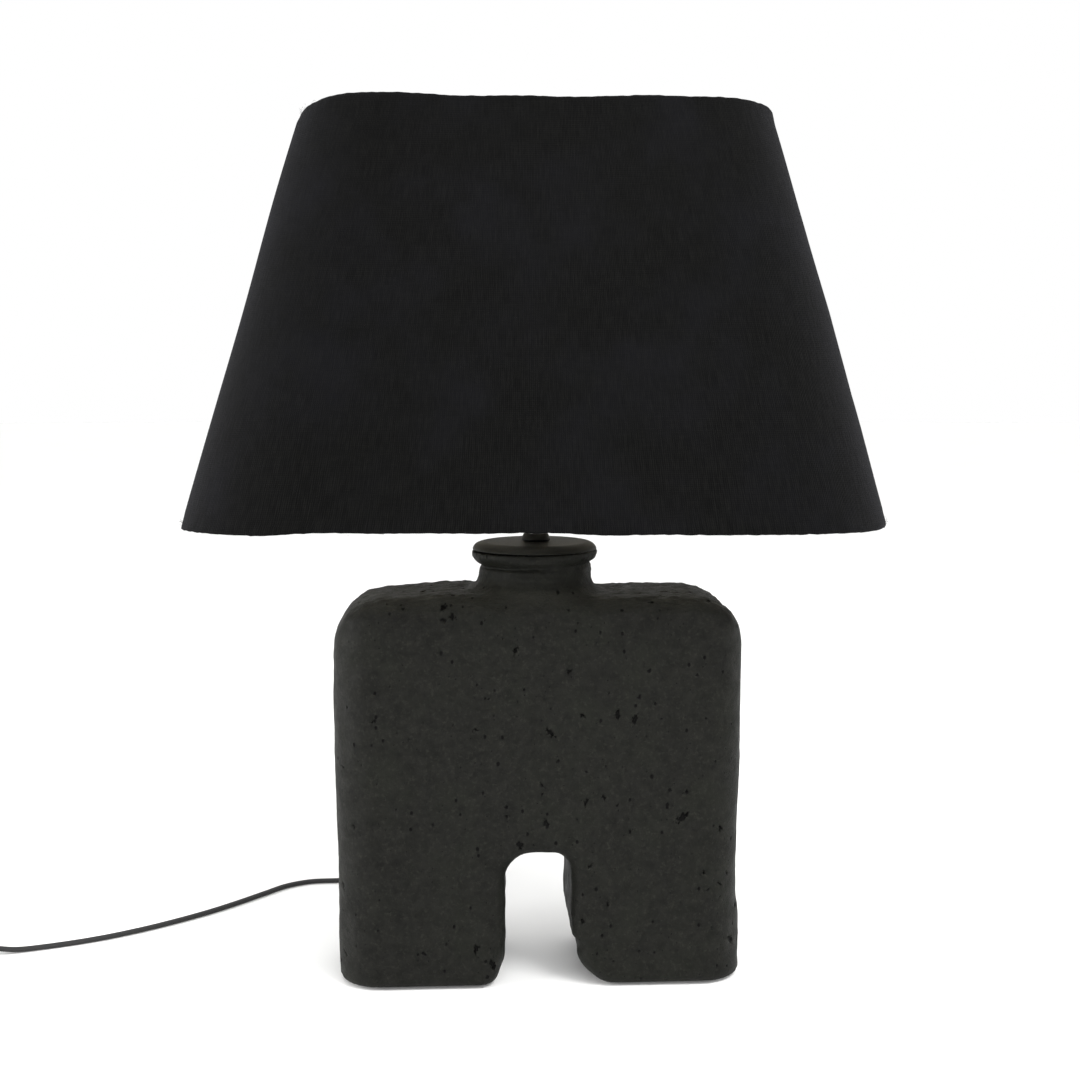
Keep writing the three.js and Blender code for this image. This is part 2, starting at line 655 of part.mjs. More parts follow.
function inlineSwitch() {
  const { x, y, length, width, height, seam, corner, wall } = SWITCH;
  const outline = (inset) => roundedRect(length / 2 - inset, width / 2 - inset, corner - inset);
  const prism = (shape, bottom, top, curveSegments = 3) =>
    new THREE.ExtrudeGeometry(shape, { depth: top - bottom, bevelEnabled: false, curveSegments })
      .translate(0, 0, bottom);
  const floor = 0.2;
  const tray = solid(prism(outline(0), floor, seam)).subtract(solid(prism(outline(wall), floor + wall, seam + 1)));
  const lid = solid(
    loft(
      outline(0),
      [
        { at: seam + GAP, sx: 1, sy: 1 },
        { at: height - 2.5, sx: 0.985, sy: 0.965 },
        { at: height - 0.7, sx: 0.965, sy: 0.92 },
        { at: height, sx: 0.93, sy: 0.84 },
      ],
      3,
    ),
  )
    .subtract(solid(prism(outline(wall + 0.6), seam - 1, height - wall)))
    .subtract(solid(prism(roundedRect(ROCKER.length / 2 + ROCKER.play, ROCKER.width / 2 + 0.5, 0.4), seam, height + 1, 1)));
  const pieces = [
    add("switch_base", geometryOf(tray), "blackPlastic"),
    add("switch_cover", geometryOf(lid), "blackPlastic"),
    add("switch_rocker", rockerGeometry(), "blackPlastic"),
    add("switch_contact", new THREE.BoxGeometry(24, 4, 0.8).translate(0, 0, 3.4), "brass"),
    add("switch_screw", turned([[0, 2.4], [2.6, 2.4], [2.6, 4.6], [0, 4.6]], 16).translate(-19, 0, 0), "steel"),
  ];
  for (const piece of pieces) piece.position.set(x, y, 0);
}

// A saddle-topped rocker that tips about the switch's cross axis.
function rockerGeometry() {
  const half = ROCKER.length / 2;
  const profile = new THREE.Shape();
  profile.moveTo(-half, ROCKER.pivotZ - 1);
  profile.lineTo(-half + 3, ROCKER.pivotZ - 3.4);
  profile.lineTo(half - 3, ROCKER.pivotZ - 3.4);
  profile.lineTo(half, ROCKER.pivotZ - 1);
  profile.lineTo(half, ROCKER.pivotZ + 4.4);
  profile.quadraticCurveTo(0, ROCKER.pivotZ + 3, -half, ROCKER.pivotZ + 6.6);
  const options = { depth: ROCKER.width, bevelEnabled: false, curveSegments: 6 };
  return new THREE.ExtrudeGeometry(profile, options).translate(0, 0, -ROCKER.width / 2).rotateX(Math.PI / 2);
}

function plug() {
  const { x, y, z, length, halfWidth, halfHeight, pinRadius, pinLength } = PLUG;
  const stations = [
    [0, 3.6, 3.3],
    [14, 4.6, 3.9],
    [16, 8.5, 5.4],
    [20, 11.5, 6.4],
    [27, halfWidth, halfHeight],
    [length - 1, halfWidth, halfHeight],
    [length, halfWidth - 1, halfHeight - 1],
  ].map(([at, w, h]) => ({ at, sx: h / halfHeight, sy: w / halfWidth }));
  const body = loft(roundedRect(halfHeight, halfWidth, 5.5), stations, 3).rotateY(Math.PI / 2);
  add("plug_body", body, "blackPlastic").position.set(x, y, z);
  for (const [name, side] of [["plug_pin_left", -1], ["plug_pin_right", 1]]) {
    const profile = [
      [0, 0],
      [pinRadius, 0],
      [pinRadius, pinLength - 1.6],
      [pinRadius - 0.5, pinLength - 0.4],
      [0, pinLength],
    ];
    const pin = turned(profile, 12).rotateY(Math.PI / 2);
    add(name, pin, "brass").position.set(x + length + GAP, y + (side * PIN_SPACING) / 2, z);
  }
}

baseBody();
feltPads();
neckCap();
clamp();
threadedTube();
neckNut();
stemTube();
holderCap();
holderShell();
holderContacts();
bulb();
shade();
innerLead();
cordGland();
freeCord();
cordCoil();
coilTie();
inlineSwitch();
plug();

export default lamp;
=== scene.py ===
"""Table lamp: an arched stoneware base, a tapered linen shade and a flat lead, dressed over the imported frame."""

import itertools
import json
import logging
import math
from dataclasses import dataclass, field
from enum import Enum
from typing import Callable, Iterable, Sequence

import bmesh
import bpy
import numpy as np
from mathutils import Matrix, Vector
from mathutils.kdtree import KDTree

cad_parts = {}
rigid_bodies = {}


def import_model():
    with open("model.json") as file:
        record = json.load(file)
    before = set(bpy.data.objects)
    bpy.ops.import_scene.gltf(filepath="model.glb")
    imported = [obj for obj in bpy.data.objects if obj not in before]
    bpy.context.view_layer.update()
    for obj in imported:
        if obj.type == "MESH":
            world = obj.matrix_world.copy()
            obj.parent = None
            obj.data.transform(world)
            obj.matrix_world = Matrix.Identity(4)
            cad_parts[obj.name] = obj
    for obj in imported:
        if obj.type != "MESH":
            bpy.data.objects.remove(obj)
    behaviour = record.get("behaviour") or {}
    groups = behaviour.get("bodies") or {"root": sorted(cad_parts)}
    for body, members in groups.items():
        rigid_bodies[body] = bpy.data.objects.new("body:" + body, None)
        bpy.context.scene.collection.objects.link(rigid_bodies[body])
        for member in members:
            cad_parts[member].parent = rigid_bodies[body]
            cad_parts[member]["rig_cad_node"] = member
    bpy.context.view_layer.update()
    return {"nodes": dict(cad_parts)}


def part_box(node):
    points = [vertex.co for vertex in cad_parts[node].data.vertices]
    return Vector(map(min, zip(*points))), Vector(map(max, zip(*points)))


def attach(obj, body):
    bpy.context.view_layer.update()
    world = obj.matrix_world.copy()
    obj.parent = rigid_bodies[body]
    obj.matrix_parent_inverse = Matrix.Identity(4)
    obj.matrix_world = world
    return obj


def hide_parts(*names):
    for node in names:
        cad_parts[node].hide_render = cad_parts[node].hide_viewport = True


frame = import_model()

LOG = logging.getLogger("table_lamp")
MM = 0.001
CREASE = 38  # degrees; sharper edges stay crisp
SOFT_CREASE = 60
ROUND = 96  # segments of a turned piece
LOOK = 0.15  # millimetres to either side of a point when a slope is measured
SLANT = 1.04  # the shade's sloped height against its upright height
SQUASH = 2.2  # how much more of a shade's outward push goes to its long faces

Point = tuple[float, float, float]
Profile = Sequence[tuple[float, float]]
Table = tuple[tuple[float, ...], tuple[float, ...]]
Field = Callable[[np.ndarray], np.ndarray]
Socket = bpy.types.NodeSocket


# ---- colours and node work ----


def shade_of(code: str) -> tuple[float, float, float, float]:
    """Turns a colour code such as 2b2b28 into scene-linear red, green, blue and a full alpha."""
    channels = [int(code[i : i + 2], 16) / 255 for i in (0, 2, 4)]
    linear = [c / 12.92 if c <= 0.04045 else ((c + 0.055) / 1.055) ** 2.4 for c in channels]
    return (*linear, 1.0)


class Where(Enum):
    """Which coordinates a pattern is laid out in."""

    BODY = "Object"
    SHEET = "UV"


class Recipe:
    """A material's nodes, with short calls to add, set and join them."""

    def __init__(self, name: str) -> None:
        """Starts a material with a bare Principled shader.

        Args:
            name: the material's name.
        """
        self.material = bpy.data.materials.new(name)
        self.material.use_nodes = True
        self.tree = self.material.node_tree
        self.tree.nodes.clear()
        output = self.node("ShaderNodeOutputMaterial")
        self.shader = self.node("ShaderNodeBsdfPrincipled")
        self.tree.links.new(self.shader.outputs["BSDF"], output.inputs["Surface"])

    def node(self, kind: str, **settings: object) -> bpy.types.Node:
        """Adds a node.

        Args:
            kind: the node's type name.
            settings: properties to set on it.

        Returns:
            The new node.
        """
        made = self.tree.nodes.new(kind)
        for key, value in settings.items():
            setattr(made, key, value)
        return made

    def feed(self, target: Socket, value: object) -> None:
        """Joins a socket to another, or sets its constant.

        Args:
            target: the input to fill.
            value: an output socket, or a number, vector or colour.
        """
        if isinstance(value, bpy.types.NodeSocket):
            self.tree.links.new(value, target)
        else:
            target.default_value = value

    def set(self, **values: object) -> None:
        """Fills the shader's inputs.

        Args:
            values: input names with spaces written as underscores, and what goes in.
        """
        for key, value in values.items():
            self.feed(self.shader.inputs[key.replace("_", " ")], value)

    def place(self, where: Where = Where.BODY, scale: Point = (1, 1, 1), turn: Point = (0, 0, 0)) -> Socket:
        """Gives coordinates to lay a pattern out in.

        Args:
            where: the piece's own space or its sheet layout, both in metres.
            scale: how much each direction is stretched.
            turn: the rotation about each axis.

        Returns:
            The vector socket.
        """
        source = self.node("ShaderNodeTexCoord").outputs[where.value]
        if scale == (1, 1, 1) and turn == (0, 0, 0):
            return source
        mapping = self.node("ShaderNodeMapping")
        self.feed(mapping.inputs["Vector"], source)
        self.feed(mapping.inputs["Scale"], scale)
        self.feed(mapping.inputs["Rotation"], turn)
        return mapping.outputs["Vector"]

    def noise(self, place: Socket, scale: float, detail: float = 4, rough: float = 0.55, bend: float = 0) -> Socket:
        """Adds soft noise.

        Args:
            place: where it is laid out.
            scale: features per metre.
            detail: how many finer layers it has.
            rough: how strong the finer layers are.
            bend: how far it is distorted.

        Returns:
            The factor socket, from 0 to 1.
        """
        made = self.node("ShaderNodeTexNoise")
        inputs = [("Vector", place), ("Scale", scale), ("Detail", detail), ("Roughness", rough), ("Distortion", bend)]
        for key, value in inputs:
            self.feed(made.inputs[key], value)
        return made.outputs["Fac"]

    def cells(self, place: Socket, scale: float) -> tuple[Socket, Socket]:
        """Adds irregularly scattered points.

        Args:
            place: where they are laid out.
            scale: points per metre.

        Returns:
            The distance to the nearest point in cell widths, and that point's own random number.
        """
        made = self.node("ShaderNodeTexVoronoi")
        for key, value in [("Vector", place), ("Scale", scale), ("Randomness", 1)]:
            self.feed(made.inputs[key], value)
        apart = self.node("ShaderNodeSeparateColor")
        self.feed(apart.inputs[0], made.outputs["Color"])
        return made.outputs["Distance"], apart.outputs[0]

    def waves(self, place: Socket, scale: float, along: str = "X", bend: float = 0, detail: float = 2) -> Socket:
        """Adds even sine bands.

        Args:
            place: where they are laid out.
            scale: bands per metre, divided by 10 / pi.
            along: the axis that they follow each other along.
            bend: how wavy they are.
            detail: how fine the waviness is.

        Returns:
            The factor socket, from 0 to 1.
        """
        made = self.node("ShaderNodeTexWave", wave_type="BANDS", bands_direction=along, wave_profile="SIN")
        inputs = [("Vector", place), ("Scale", scale), ("Distortion", bend), ("Detail", detail), ("Detail Scale", 1.5)]
        for key, value in inputs:
            self.feed(made.inputs[key], value)
        return made.outputs["Fac"]

    def fit(self, value: Socket, low: float, high: float, to_low: float = 0, to_high: float = 1) -> Socket:
        """Maps a range to another, smoothly and clamped.

        Args:
            value: the number to map.
            low: where the first range starts.
            high: where it ends.
            to_low: what low becomes.
            to_high: what high becomes.

        Returns:
            The mapped socket.
        """
        made = self.node("ShaderNodeMapRange", interpolation_type="SMOOTHSTEP")
        keys = ("Value", "From Min", "From Max", "To Min", "To Max")
        for key, number in zip(keys, (value, low, high, to_low, to_high)):
            self.feed(made.inputs[key], number)
        return made.outputs["Result"]

    def sum(self, first: object, second: object, how: str = "ADD") -> Socket:
        """Joins two numbers.

        Args:
            first: a socket or a number.
            second: a socket or a number.
            how: the operation's name.

        Returns:
            The result's socket.
        """
        made = self.node("ShaderNodeMath", operation=how)
        self.feed(made.inputs[0], first)
        self.feed(made.inputs[1], second)
        return made.outputs["Value"]

    def times(self, first: object, second: object) -> Socket:
        """Multiplies two numbers, each a socket or a plain one."""
        return self.sum(first, second, "MULTIPLY")

    def mix(self, share: object, first: object, second: object) -> Socket:
        """Mixes two colours.

        Args:
            share: how much of the second there is.
            first: a colour or its socket.
            second: a colour or its socket.

        Returns:
            The colour socket.
        """
        made = self.node("ShaderNodeMix", data_type="RGBA", blend_type="MIX")
        self.feed(made.inputs["Factor"], share)
        self.feed(made.inputs[6], first)
        self.feed(made.inputs[7], second)
        return made.outputs[2]

    def relief(self, height: Socket, depth: float, strength: float = 1, under: Socket | None = None) -> Socket:
        """Turns heights into surface relief.

        Args:
            height: the heights, from 0 to 1.
            depth: how deep 1 is, in metres.
            strength: how much of it shows.
            under: relief that it lies on.

        Returns:
            The normal socket.
        """
        made = self.node("ShaderNodeBump")
        self.feed(made.inputs["Strength"], strength)
        self.feed(made.inputs["Distance"], depth)
        self.feed(made.inputs["Height"], height)
        if under is not None:
            self.feed(made.inputs["Normal"], under)
        return made.outputs["Normal"]


@dataclass(frozen=True)
class Finish:
    """A finish that pieces wear, made once and shared."""

    name: str
    slot: str

    def mix(self, recipe: Recipe) -> None:
        """Fills in the finish's nodes; each finish has its own."""
        raise NotImplementedError

    def material(self) -> bpy.types.Material:
        """Gives the finish's material, made on its first use."""
        found = bpy.data.materials.get(self.name)
        if found is None:
            recipe = Recipe(self.name)
            self.mix(recipe)
            found = recipe.material
        return found

    def dress(self, *pieces: bpy.types.Object) -> None:
        """Puts the finish on pieces, in place of whatever they wear.

        Args:
            pieces: new pieces or nodes of the frame.
        """
        for piece in pieces:
            if "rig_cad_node" in piece:
                piece.data.materials[0] = self.material()
            else:
                piece.data.materials.clear()
                piece.data.materials.append(self.material())


@dataclass(frozen=True)
class Stoneware(Finish):
    """Matt charcoal stoneware: mottled and pitted, scraped over its shoulders, with painted shade in its pits and a
    painted highlight over its shoulder tops.
    """

    name: str = "charcoal_stoneware"
    slot: str = "ceramic"
    dark: str = "0d0e0b"
    light: str = "1c1c19"
    fleck: str = "2d2d28"
    # scraped: a lighter colour laid over the shoulder tops as a painted highlight; the scrapes themselves show only in
    # the relief
    scraped: str = "31312c"
    # pit: the near-black of the painted shade in the pits
    pit: str = "050504"
    # shoulder: the height in metres where the painted highlight and the scrape relief start
    shoulder: float = 0.241

    def mix(self, recipe: Recipe) -> None:
        """Lays clay tone, pits filled with painted shade, grain and scrapes over each other, with a painted highlight
        on the shoulder tops.
        """
        place = recipe.place()
        tone = recipe.fit(recipe.noise(place, 130, 7, 0.76, 0.4), 0.25, 0.75)
        green = recipe.fit(recipe.noise(place, 30, 3), 0.4, 0.75, 0, 0.45)
        clay = recipe.mix(tone, shade_of(self.dark), shade_of(self.light))
        clay = recipe.mix(green, clay, shade_of("1b1d17"))
        worn = recipe.fit(recipe.noise(place, 420, 6, 0.75), 0.5, 0.7, 0, 0.55)
        clay = recipe.mix(worn, clay, shade_of(self.fleck))
        smut = recipe.fit(recipe.noise(place, 150, 6, 0.75, 0.5), 0.52, 0.68, 0, 0.6)
        clay = recipe.mix(smut, clay, shade_of("0a0a09"))
        warped = recipe.place(scale=(1, 1, 0.72), turn=(0.3, 0.5, 0.2))
        # painted shade: the small pits are dark spots with a sunken relief only; no hollow is modelled for them
        pits = []
        for scale, radius, kept in ((125, 0.15, 0.5), (330, 0.15, 0.35), (70, 0.1, 0.4)):
            distance, lot = recipe.cells(warped, scale)
            hole = recipe.fit(distance, radius * 0.45, radius, 1, 0)
            pits.append(recipe.times(hole, recipe.sum(lot, kept, "LESS_THAN")))
        # opened: how deep the modelled pits sink, kept in the mesh's pit layer and painted dark below
        opened = recipe.node("ShaderNodeAttribute", attribute_name="pit").outputs["Fac"]
        holes = recipe.sum(recipe.sum(pits[0], pits[1], "MAXIMUM"), pits[2], "MAXIMUM")
        dark = recipe.sum(holes, recipe.fit(opened, 0.1, 0.75), "MAXIMUM")
        apart = recipe.node("ShaderNodeSeparateXYZ")
        recipe.feed(apart.inputs[0], place)
        # the shoulder tops, from the shoulder height to just under the neck: the scrape relief and the painted
        # highlight both go here
        high = recipe.fit(apart.outputs["Z"], self.shoulder, self.shoulder + 0.012)
        below = recipe.fit(apart.outputs["Z"], 0.2585, 0.2535)
        high = recipe.times(high, below)
        scrapes = recipe.noise(recipe.place(scale=(0.5, 1.6, 1.6)), 260, 6, 0.75, 0.8)
        rough_top = recipe.times(recipe.fit(scrapes, 0.42, 0.6), high)
        # painted highlight: the shoulder tops are lightened evenly, 0.6 of the way towards the scraped colour
        clay = recipe.mix(recipe.times(high, 0.6), clay, shade_of(self.scraped))
        # painted shade: the pits, drawn and modelled, are painted near-black
        clay = recipe.mix(dark, clay, shade_of(self.pit))
        grain = recipe.relief(recipe.noise(place, 1500, 5, 0.7), 0.00022, 0.7)
        lumps = recipe.relief(recipe.noise(place, 260, 5, 0.65), 0.0008, 0.5, grain)
        scraped = recipe.relief(rough_top, 0.0009, 0.6, lumps)
        sunk = recipe.relief(recipe.fit(holes, 0, 1, 1, 0), 0.0012, 1, scraped)
        skin = recipe.fit(recipe.noise(place, 90, 4), 0.3, 0.7, 0.5, 0.66)
        roughness = recipe.sum(skin, recipe.times(holes, 0.25))
        recipe.set(Base_Color=clay, Roughness=roughness, Normal=sunk, Specular_IOR_Level=0.11, IOR=1.5)


@dataclass(frozen=True)
class Linen(Finish):
    """Black linen, woven of uneven threads. Its layout is in metres of cloth: along the hem, and up."""

    name: str = "black_linen"
    slot: str = "linen"
    dark: str = "060606"
    light: str = "141413"
    thread: float = 0.00055

    def mix(self, recipe: Recipe) -> None:
        """Weaves upright and level threads, and lets them slub and fade."""
        place = recipe.place(Where.SHEET)
        bands = 1 / (self.thread * math.pi)
        upright = recipe.waves(place, bands / 2, "X", 1.2, 3)
        level = recipe.waves(place, bands / 2.3, "Y", 1.4, 3)
        slub_up = recipe.fit(recipe.noise(recipe.place(Where.SHEET, (1, 0.06, 1)), 1300, 3), 0.35, 0.7)
        slub_along = recipe.fit(recipe.noise(recipe.place(Where.SHEET, (0.06, 1, 1)), 1100, 3), 0.4, 0.75)
        threads = recipe.sum(recipe.times(upright, 0.65), recipe.times(level, 0.35))
        uneven = recipe.sum(recipe.times(slub_up, 0.7), recipe.times(slub_along, 0.3))
        weave = recipe.sum(recipe.times(threads, 0.55), recipe.times(uneven, 0.45))
        cloth = recipe.mix(recipe.fit(weave, 0.15, 0.85), shade_of(self.dark), shade_of(self.light))
        faded = recipe.fit(recipe.noise(recipe.place(), 14, 4, 0.6), 0.4, 0.72, 0, 0.35)
        cloth = recipe.mix(faded, cloth, shade_of("17171b"))
        woven = recipe.relief(weave, 0.00035, 0.8)
        soft = recipe.relief(recipe.noise(recipe.place(), 120, 3), 0.0006, 0.25, woven)
        recipe.set(Base_Color=cloth, Roughness=0.92, Normal=soft, Specular_IOR_Level=0.05)
        recipe.set(Sheen_Weight=0.06, Sheen_Roughness=0.45, Sheen_Tint=(0.6, 0.6, 0.68, 1))


@dataclass(frozen=True)
class Felt(Finish):
    """Pressed felt, matted from short fibres."""

    name: str = "pressed_felt"
    slot: str = "felt"
    tone: str = "1b1b1b"

    def mix(self, recipe: Recipe) -> None:
        """Mats two directions of fibre together."""
        place = recipe.place()
        fibre = recipe.noise(place, 2400, 6, 0.75, 1.5)
        cloth = recipe.mix(recipe.fit(fibre, 0.35, 0.7), shade_of("0e0e0e"), shade_of(self.tone))
        recipe.set(Base_Color=cloth, Roughness=1.0, Normal=recipe.relief(fibre, 0.0004, 0.8), Sheen_Weight=0.3)


@dataclass(frozen=True)
class SatinMetal(Finish):
    """Metal under a thin satin coat, with faint turning marks and small scuffs."""

    name: str = "satin_black_metal"
    slot: str = "black_metal"
    tone: str = "0e0e0d"
    bright: str = "171716"
    roughness: float = 0.42
    metallic: float = 0.4
    rings: float = 0.25
    shine: float = 0.25

    def mix(self, recipe: Recipe) -> None:
        """Turns fine rings into the coat and scuffs it."""
        place = recipe.place()
        turned_marks = recipe.node("ShaderNodeTexWave", wave_type="RINGS", rings_direction="Z")
        for key, value in [("Vector", place), ("Scale", 420), ("Distortion", 2.5), ("Detail", 3)]:
            recipe.feed(turned_marks.inputs[key], value)
        scuffs = recipe.fit(recipe.noise(place, 700, 6, 0.7, 0.6), 0.5, 0.75)
        cloud = recipe.fit(recipe.noise(place, 55, 4), 0.35, 0.65)
        coat = recipe.mix(cloud, shade_of(self.tone), shade_of(self.bright))
        rough = recipe.sum(self.roughness, recipe.times(scuffs, 0.12))
        fine = recipe.relief(turned_marks.outputs["Fac"], 0.00004, self.rings)
        orange = recipe.relief(recipe.noise(place, 900, 3), 0.00006, 0.35, fine)
        recipe.set(Base_Color=coat, Roughness=rough, Metallic=self.metallic)
        recipe.set(Normal=orange, Specular_IOR_Level=self.shine)


@dataclass(frozen=True)
class BareMetal(Finish):
    """Plated or bare metal with fine streaks and a little tarnish."""

    name: str = "zinc_plate"
    slot: str = "zinc_steel"
    tone: str = "b9bab8"
    tarnish: str = "8b8c8a"
    roughness: float = 0.28
    stretch: Point = (1, 1, 0.08)

    def mix(self, recipe: Recipe) -> None:
        """Draws streaks along the metal and clouds it with tarnish."""
        place = recipe.place()
        cloud = recipe.fit(recipe.noise(place, 160, 5, 0.65), 0.45, 0.75, 0, 0.7)
        streaks = recipe.noise(recipe.place(scale=self.stretch), 2600, 4, 0.6)
        metal = recipe.mix(cloud, shade_of(self.tone), shade_of(self.tarnish))
        rough = recipe.sum(recipe.times(streaks, 0.16), self.roughness)
        recipe.set(Base_Color=metal, Metallic=1.0, Roughness=rough, Normal=recipe.relief(streaks, 0.00003, 0.5))


@dataclass(frozen=True)
class MouldedPlastic(Finish):
    """Moulded black plastic with a fine spark-eroded grain."""

    name: str = "moulded_black"
    slot: str = "black_plastic"
    tone: str = "0f0f0f"
    bright: str = "191918"
    roughness: float = 0.42
    grain: float = 1900
    depth: float = 0.00006

    def mix(self, recipe: Recipe) -> None:
        """Grains the surface and varies its gloss a little."""
        place = recipe.place()
        grain = recipe.noise(place, self.grain, 4, 0.6)
        cloud = recipe.fit(recipe.noise(place, 70, 4), 0.35, 0.7)
        skin = recipe.mix(cloud, shade_of(self.tone), shade_of(self.bright))
        scuffs = recipe.fit(recipe.noise(place, 240, 6, 0.75, 1), 0.55, 0.8)
        rough = recipe.sum(self.roughness, recipe.times(scuffs, 0.18))
        recipe.set(Base_Color=skin, Roughness=rough, Normal=recipe.relief(grain, self.depth, 0.7))


@dataclass(frozen=True)
class Porcelain(Finish):
    """Glazed off-white porcelain with a few iron specks."""

    name: str = "glazed_porcelain"
    slot: str = "porcelain"
    tone: str = "e6e1d6"

    def mix(self, recipe: Recipe) -> None:
        """Specks the body and lays a smooth glaze over it."""
        place = recipe.place()
        distance, lot = recipe.cells(place, 900)
        specks = recipe.times(recipe.fit(distance, 0.08, 0.16, 1, 0), recipe.sum(lot, 0.2, "LESS_THAN"))
        cloud = recipe.fit(recipe.noise(place, 90, 3), 0.3, 0.7)
        body = recipe.mix(cloud, shade_of(self.tone), shade_of("dcd5c6"))
        body = recipe.mix(specks, body, shade_of("8a7d68"))
        recipe.set(Base_Color=body, Roughness=0.18, Coat_Weight=0.5, Coat_Roughness=0.08)
        recipe.set(Normal=recipe.relief(recipe.noise(place, 300, 3), 0.0001, 0.3))


@dataclass(frozen=True)
class OpalGlass(Finish):
    """Frosted bulb glass, milky and slightly uneven."""

    name: str = "opal_glass"
    slot: str = "opal_glass"
    tone: str = "f1eee6"

    def mix(self, recipe: Recipe) -> None:
        """Clouds the frost and gives it a soft shine."""
        place = recipe.place()
        cloud = recipe.fit(recipe.noise(place, 80, 4), 0.35, 0.7)
        frost = recipe.noise(place, 2600, 4, 0.7)
        glass = recipe.mix(cloud, shade_of(self.tone), shade_of("e7e4db"))
        recipe.set(Base_Color=glass, Roughness=recipe.fit(frost, 0.3, 0.7, 0.3, 0.42), Coat_Weight=0.3)
        recipe.set(Coat_Roughness=0.12, Subsurface_Weight=0.25, Subsurface_Scale=0.004)
        recipe.set(Normal=recipe.relief(frost, 0.00003, 0.5))


@dataclass(frozen=True)
class ClearGlass(Finish):
    """Clear glass with faint drawing lines."""

    name: str = "clear_glass"
    slot: str = "clear_glass"

    def mix(self, recipe: Recipe) -> None:
        """Keeps the glass clear and ripples it lightly."""
        place = recipe.place()
        ripple = recipe.noise(recipe.place(scale=(1, 1, 0.2)), 500, 3)
        tint = recipe.mix(recipe.fit(recipe.noise(place, 60, 3), 0.3, 0.7), shade_of("eef5f4"), shade_of("e2eeec"))
        recipe.set(Base_Color=tint, Roughness=0.04, Transmission_Weight=1.0, IOR=1.5)
        recipe.set(Normal=recipe.relief(ripple, 0.00005, 0.4))


@dataclass(frozen=True)
class Lining(Finish):
    """The shade's stiff off-white lining, with a paper-like tooth."""

    name: str = "shade_lining_sheet"
    slot: str = "shade_lining"
    tone: str = "e4dfd3"

    def mix(self, recipe: Recipe) -> None:
        """Lays a faint tooth and a few soft stains on the sheet."""
        place = recipe.place()
        tooth = recipe.noise(place, 1500, 5, 0.7)
        stain = recipe.fit(recipe.noise(place, 18, 4), 0.45, 0.75, 0, 0.6)
        sheet = recipe.mix(stain, shade_of(self.tone), shade_of("d9d2c2"))
        recipe.set(Base_Color=sheet, Roughness=0.55, Normal=recipe.relief(tooth, 0.00008, 0.6))


@dataclass(frozen=True)
class PowderCoat(Finish):
    """White powder coat on steel wire, with its usual orange peel."""

    name: str = "white_powder_coat"
    slot: str = "white_wire"
    tone: str = "dddbd4"

    def mix(self, recipe: Recipe) -> None:
        """Peels the coat finely and greys it in patches."""
        place = recipe.place()
        peel = recipe.noise(place, 1100, 3, 0.5)
        cloud = recipe.fit(recipe.noise(place, 120, 4), 0.4, 0.75, 0, 0.6)
        coat = recipe.mix(cloud, shade_of(self.tone), shade_of("cbc8bf"))
        recipe.set(Base_Color=coat, Roughness=0.42, Normal=recipe.relief(peel, 0.0001, 0.5))


STONEWARE = Stoneware()
LINEN = Linen()
FELT = Felt()
CAP_METAL = SatinMetal("satin_gunmetal", "cap_metal", "1b1b18", "252522", 0.5, 0.3, 0.5, 0.16)
BLACK_METAL = SatinMetal()
ZINC = BareMetal()
BRASS = BareMetal("bare_brass", "brass", "c39a4c", "8f6b34", 0.26)
NICKEL = BareMetal("nickel_plate", "nickel", "c9c6bf", "a5a199", 0.16)
TUNGSTEN = BareMetal("drawn_tungsten", "filament_wire", "8d8a86", "5e5b58", 0.35)
PLASTIC = MouldedPlastic()
SHEATH = MouldedPlastic("flex_sheath", "flex_sheath", "121212", "1c1c1b", 0.34, 900, 0.00004)
WOVEN_TIE = Felt("woven_tie", "felt", "262626")
PORCELAIN = Porcelain()
OPAL = OpalGlass()
CLEAR = ClearGlass()
LINING = Lining()
POWDER = PowderCoat()


# ---- shaping ----


def placed(name: str, data: bpy.types.ID) -> bpy.types.Object:
    """Puts new data into the scene, as an object of that name."""
    made = bpy.data.objects.new(name, data)
    bpy.context.scene.collection.objects.link(made)
    return made


def piece_of(name: str, points: np.ndarray, faces: Iterable[Sequence[int]], crease: float = CREASE) -> bpy.types.Object:
    """Makes a smooth-shaded mesh piece.

    Args:
        name: the piece's name.
        points: its points, in millimetres.
        faces: point numbers of each face.
        crease: edges sharper than this many degrees stay crisp.

    Returns:
        The new object, with outward faces.
    """
    mesh = bpy.data.meshes.new(name)
    mesh.from_pydata((np.asarray(points, float) * MM).tolist(), [], [list(f) for f in faces])
    work = bmesh.new()
    work.from_mesh(mesh)
    bmesh.ops.remove_doubles(work, verts=work.verts, dist=2e-6)
    bmesh.ops.recalc_face_normals(work, faces=work.faces)
    work.to_mesh(mesh)
    work.free()
    mesh.shade_smooth()
    mesh.set_sharp_from_angle(angle=math.radians(crease))
    return placed(name, mesh)


def joined_rows(rows: int, count: int, first: int = 0) -> list[tuple[int, ...]]:
    """Numbers the four-sided faces between rows of points.

    Args:
        rows: how many rows there are.
        count: how many points each row has; the last is joined to the first.
        first: the first point's number.

    Returns:
        The faces' point numbers.
    """
    faces = []
    for row, i in itertools.product(range(rows - 1), range(count)):
        low, high, after = first + row * count, first + (row + 1) * count, (i + 1) % count
        faces.append((low + i, low + after, high + after, high + i))
    return faces


def lofted(name: str, sections: Sequence[np.ndarray]) -> bpy.types.Object:
    """Joins closed sections that have the same number of points, and closes both ends.

    Args:
        name: the piece's name.
        sections: each section's points, in millimetres.

    Returns:
        The new piece.
    """
    count = len(sections[0])
    faces = joined_rows(len(sections), count)
    start = (len(sections) - 1) * count
    faces += [tuple(range(count)), tuple(range(start, start + count))]
    return piece_of(name, np.concatenate(sections), faces)


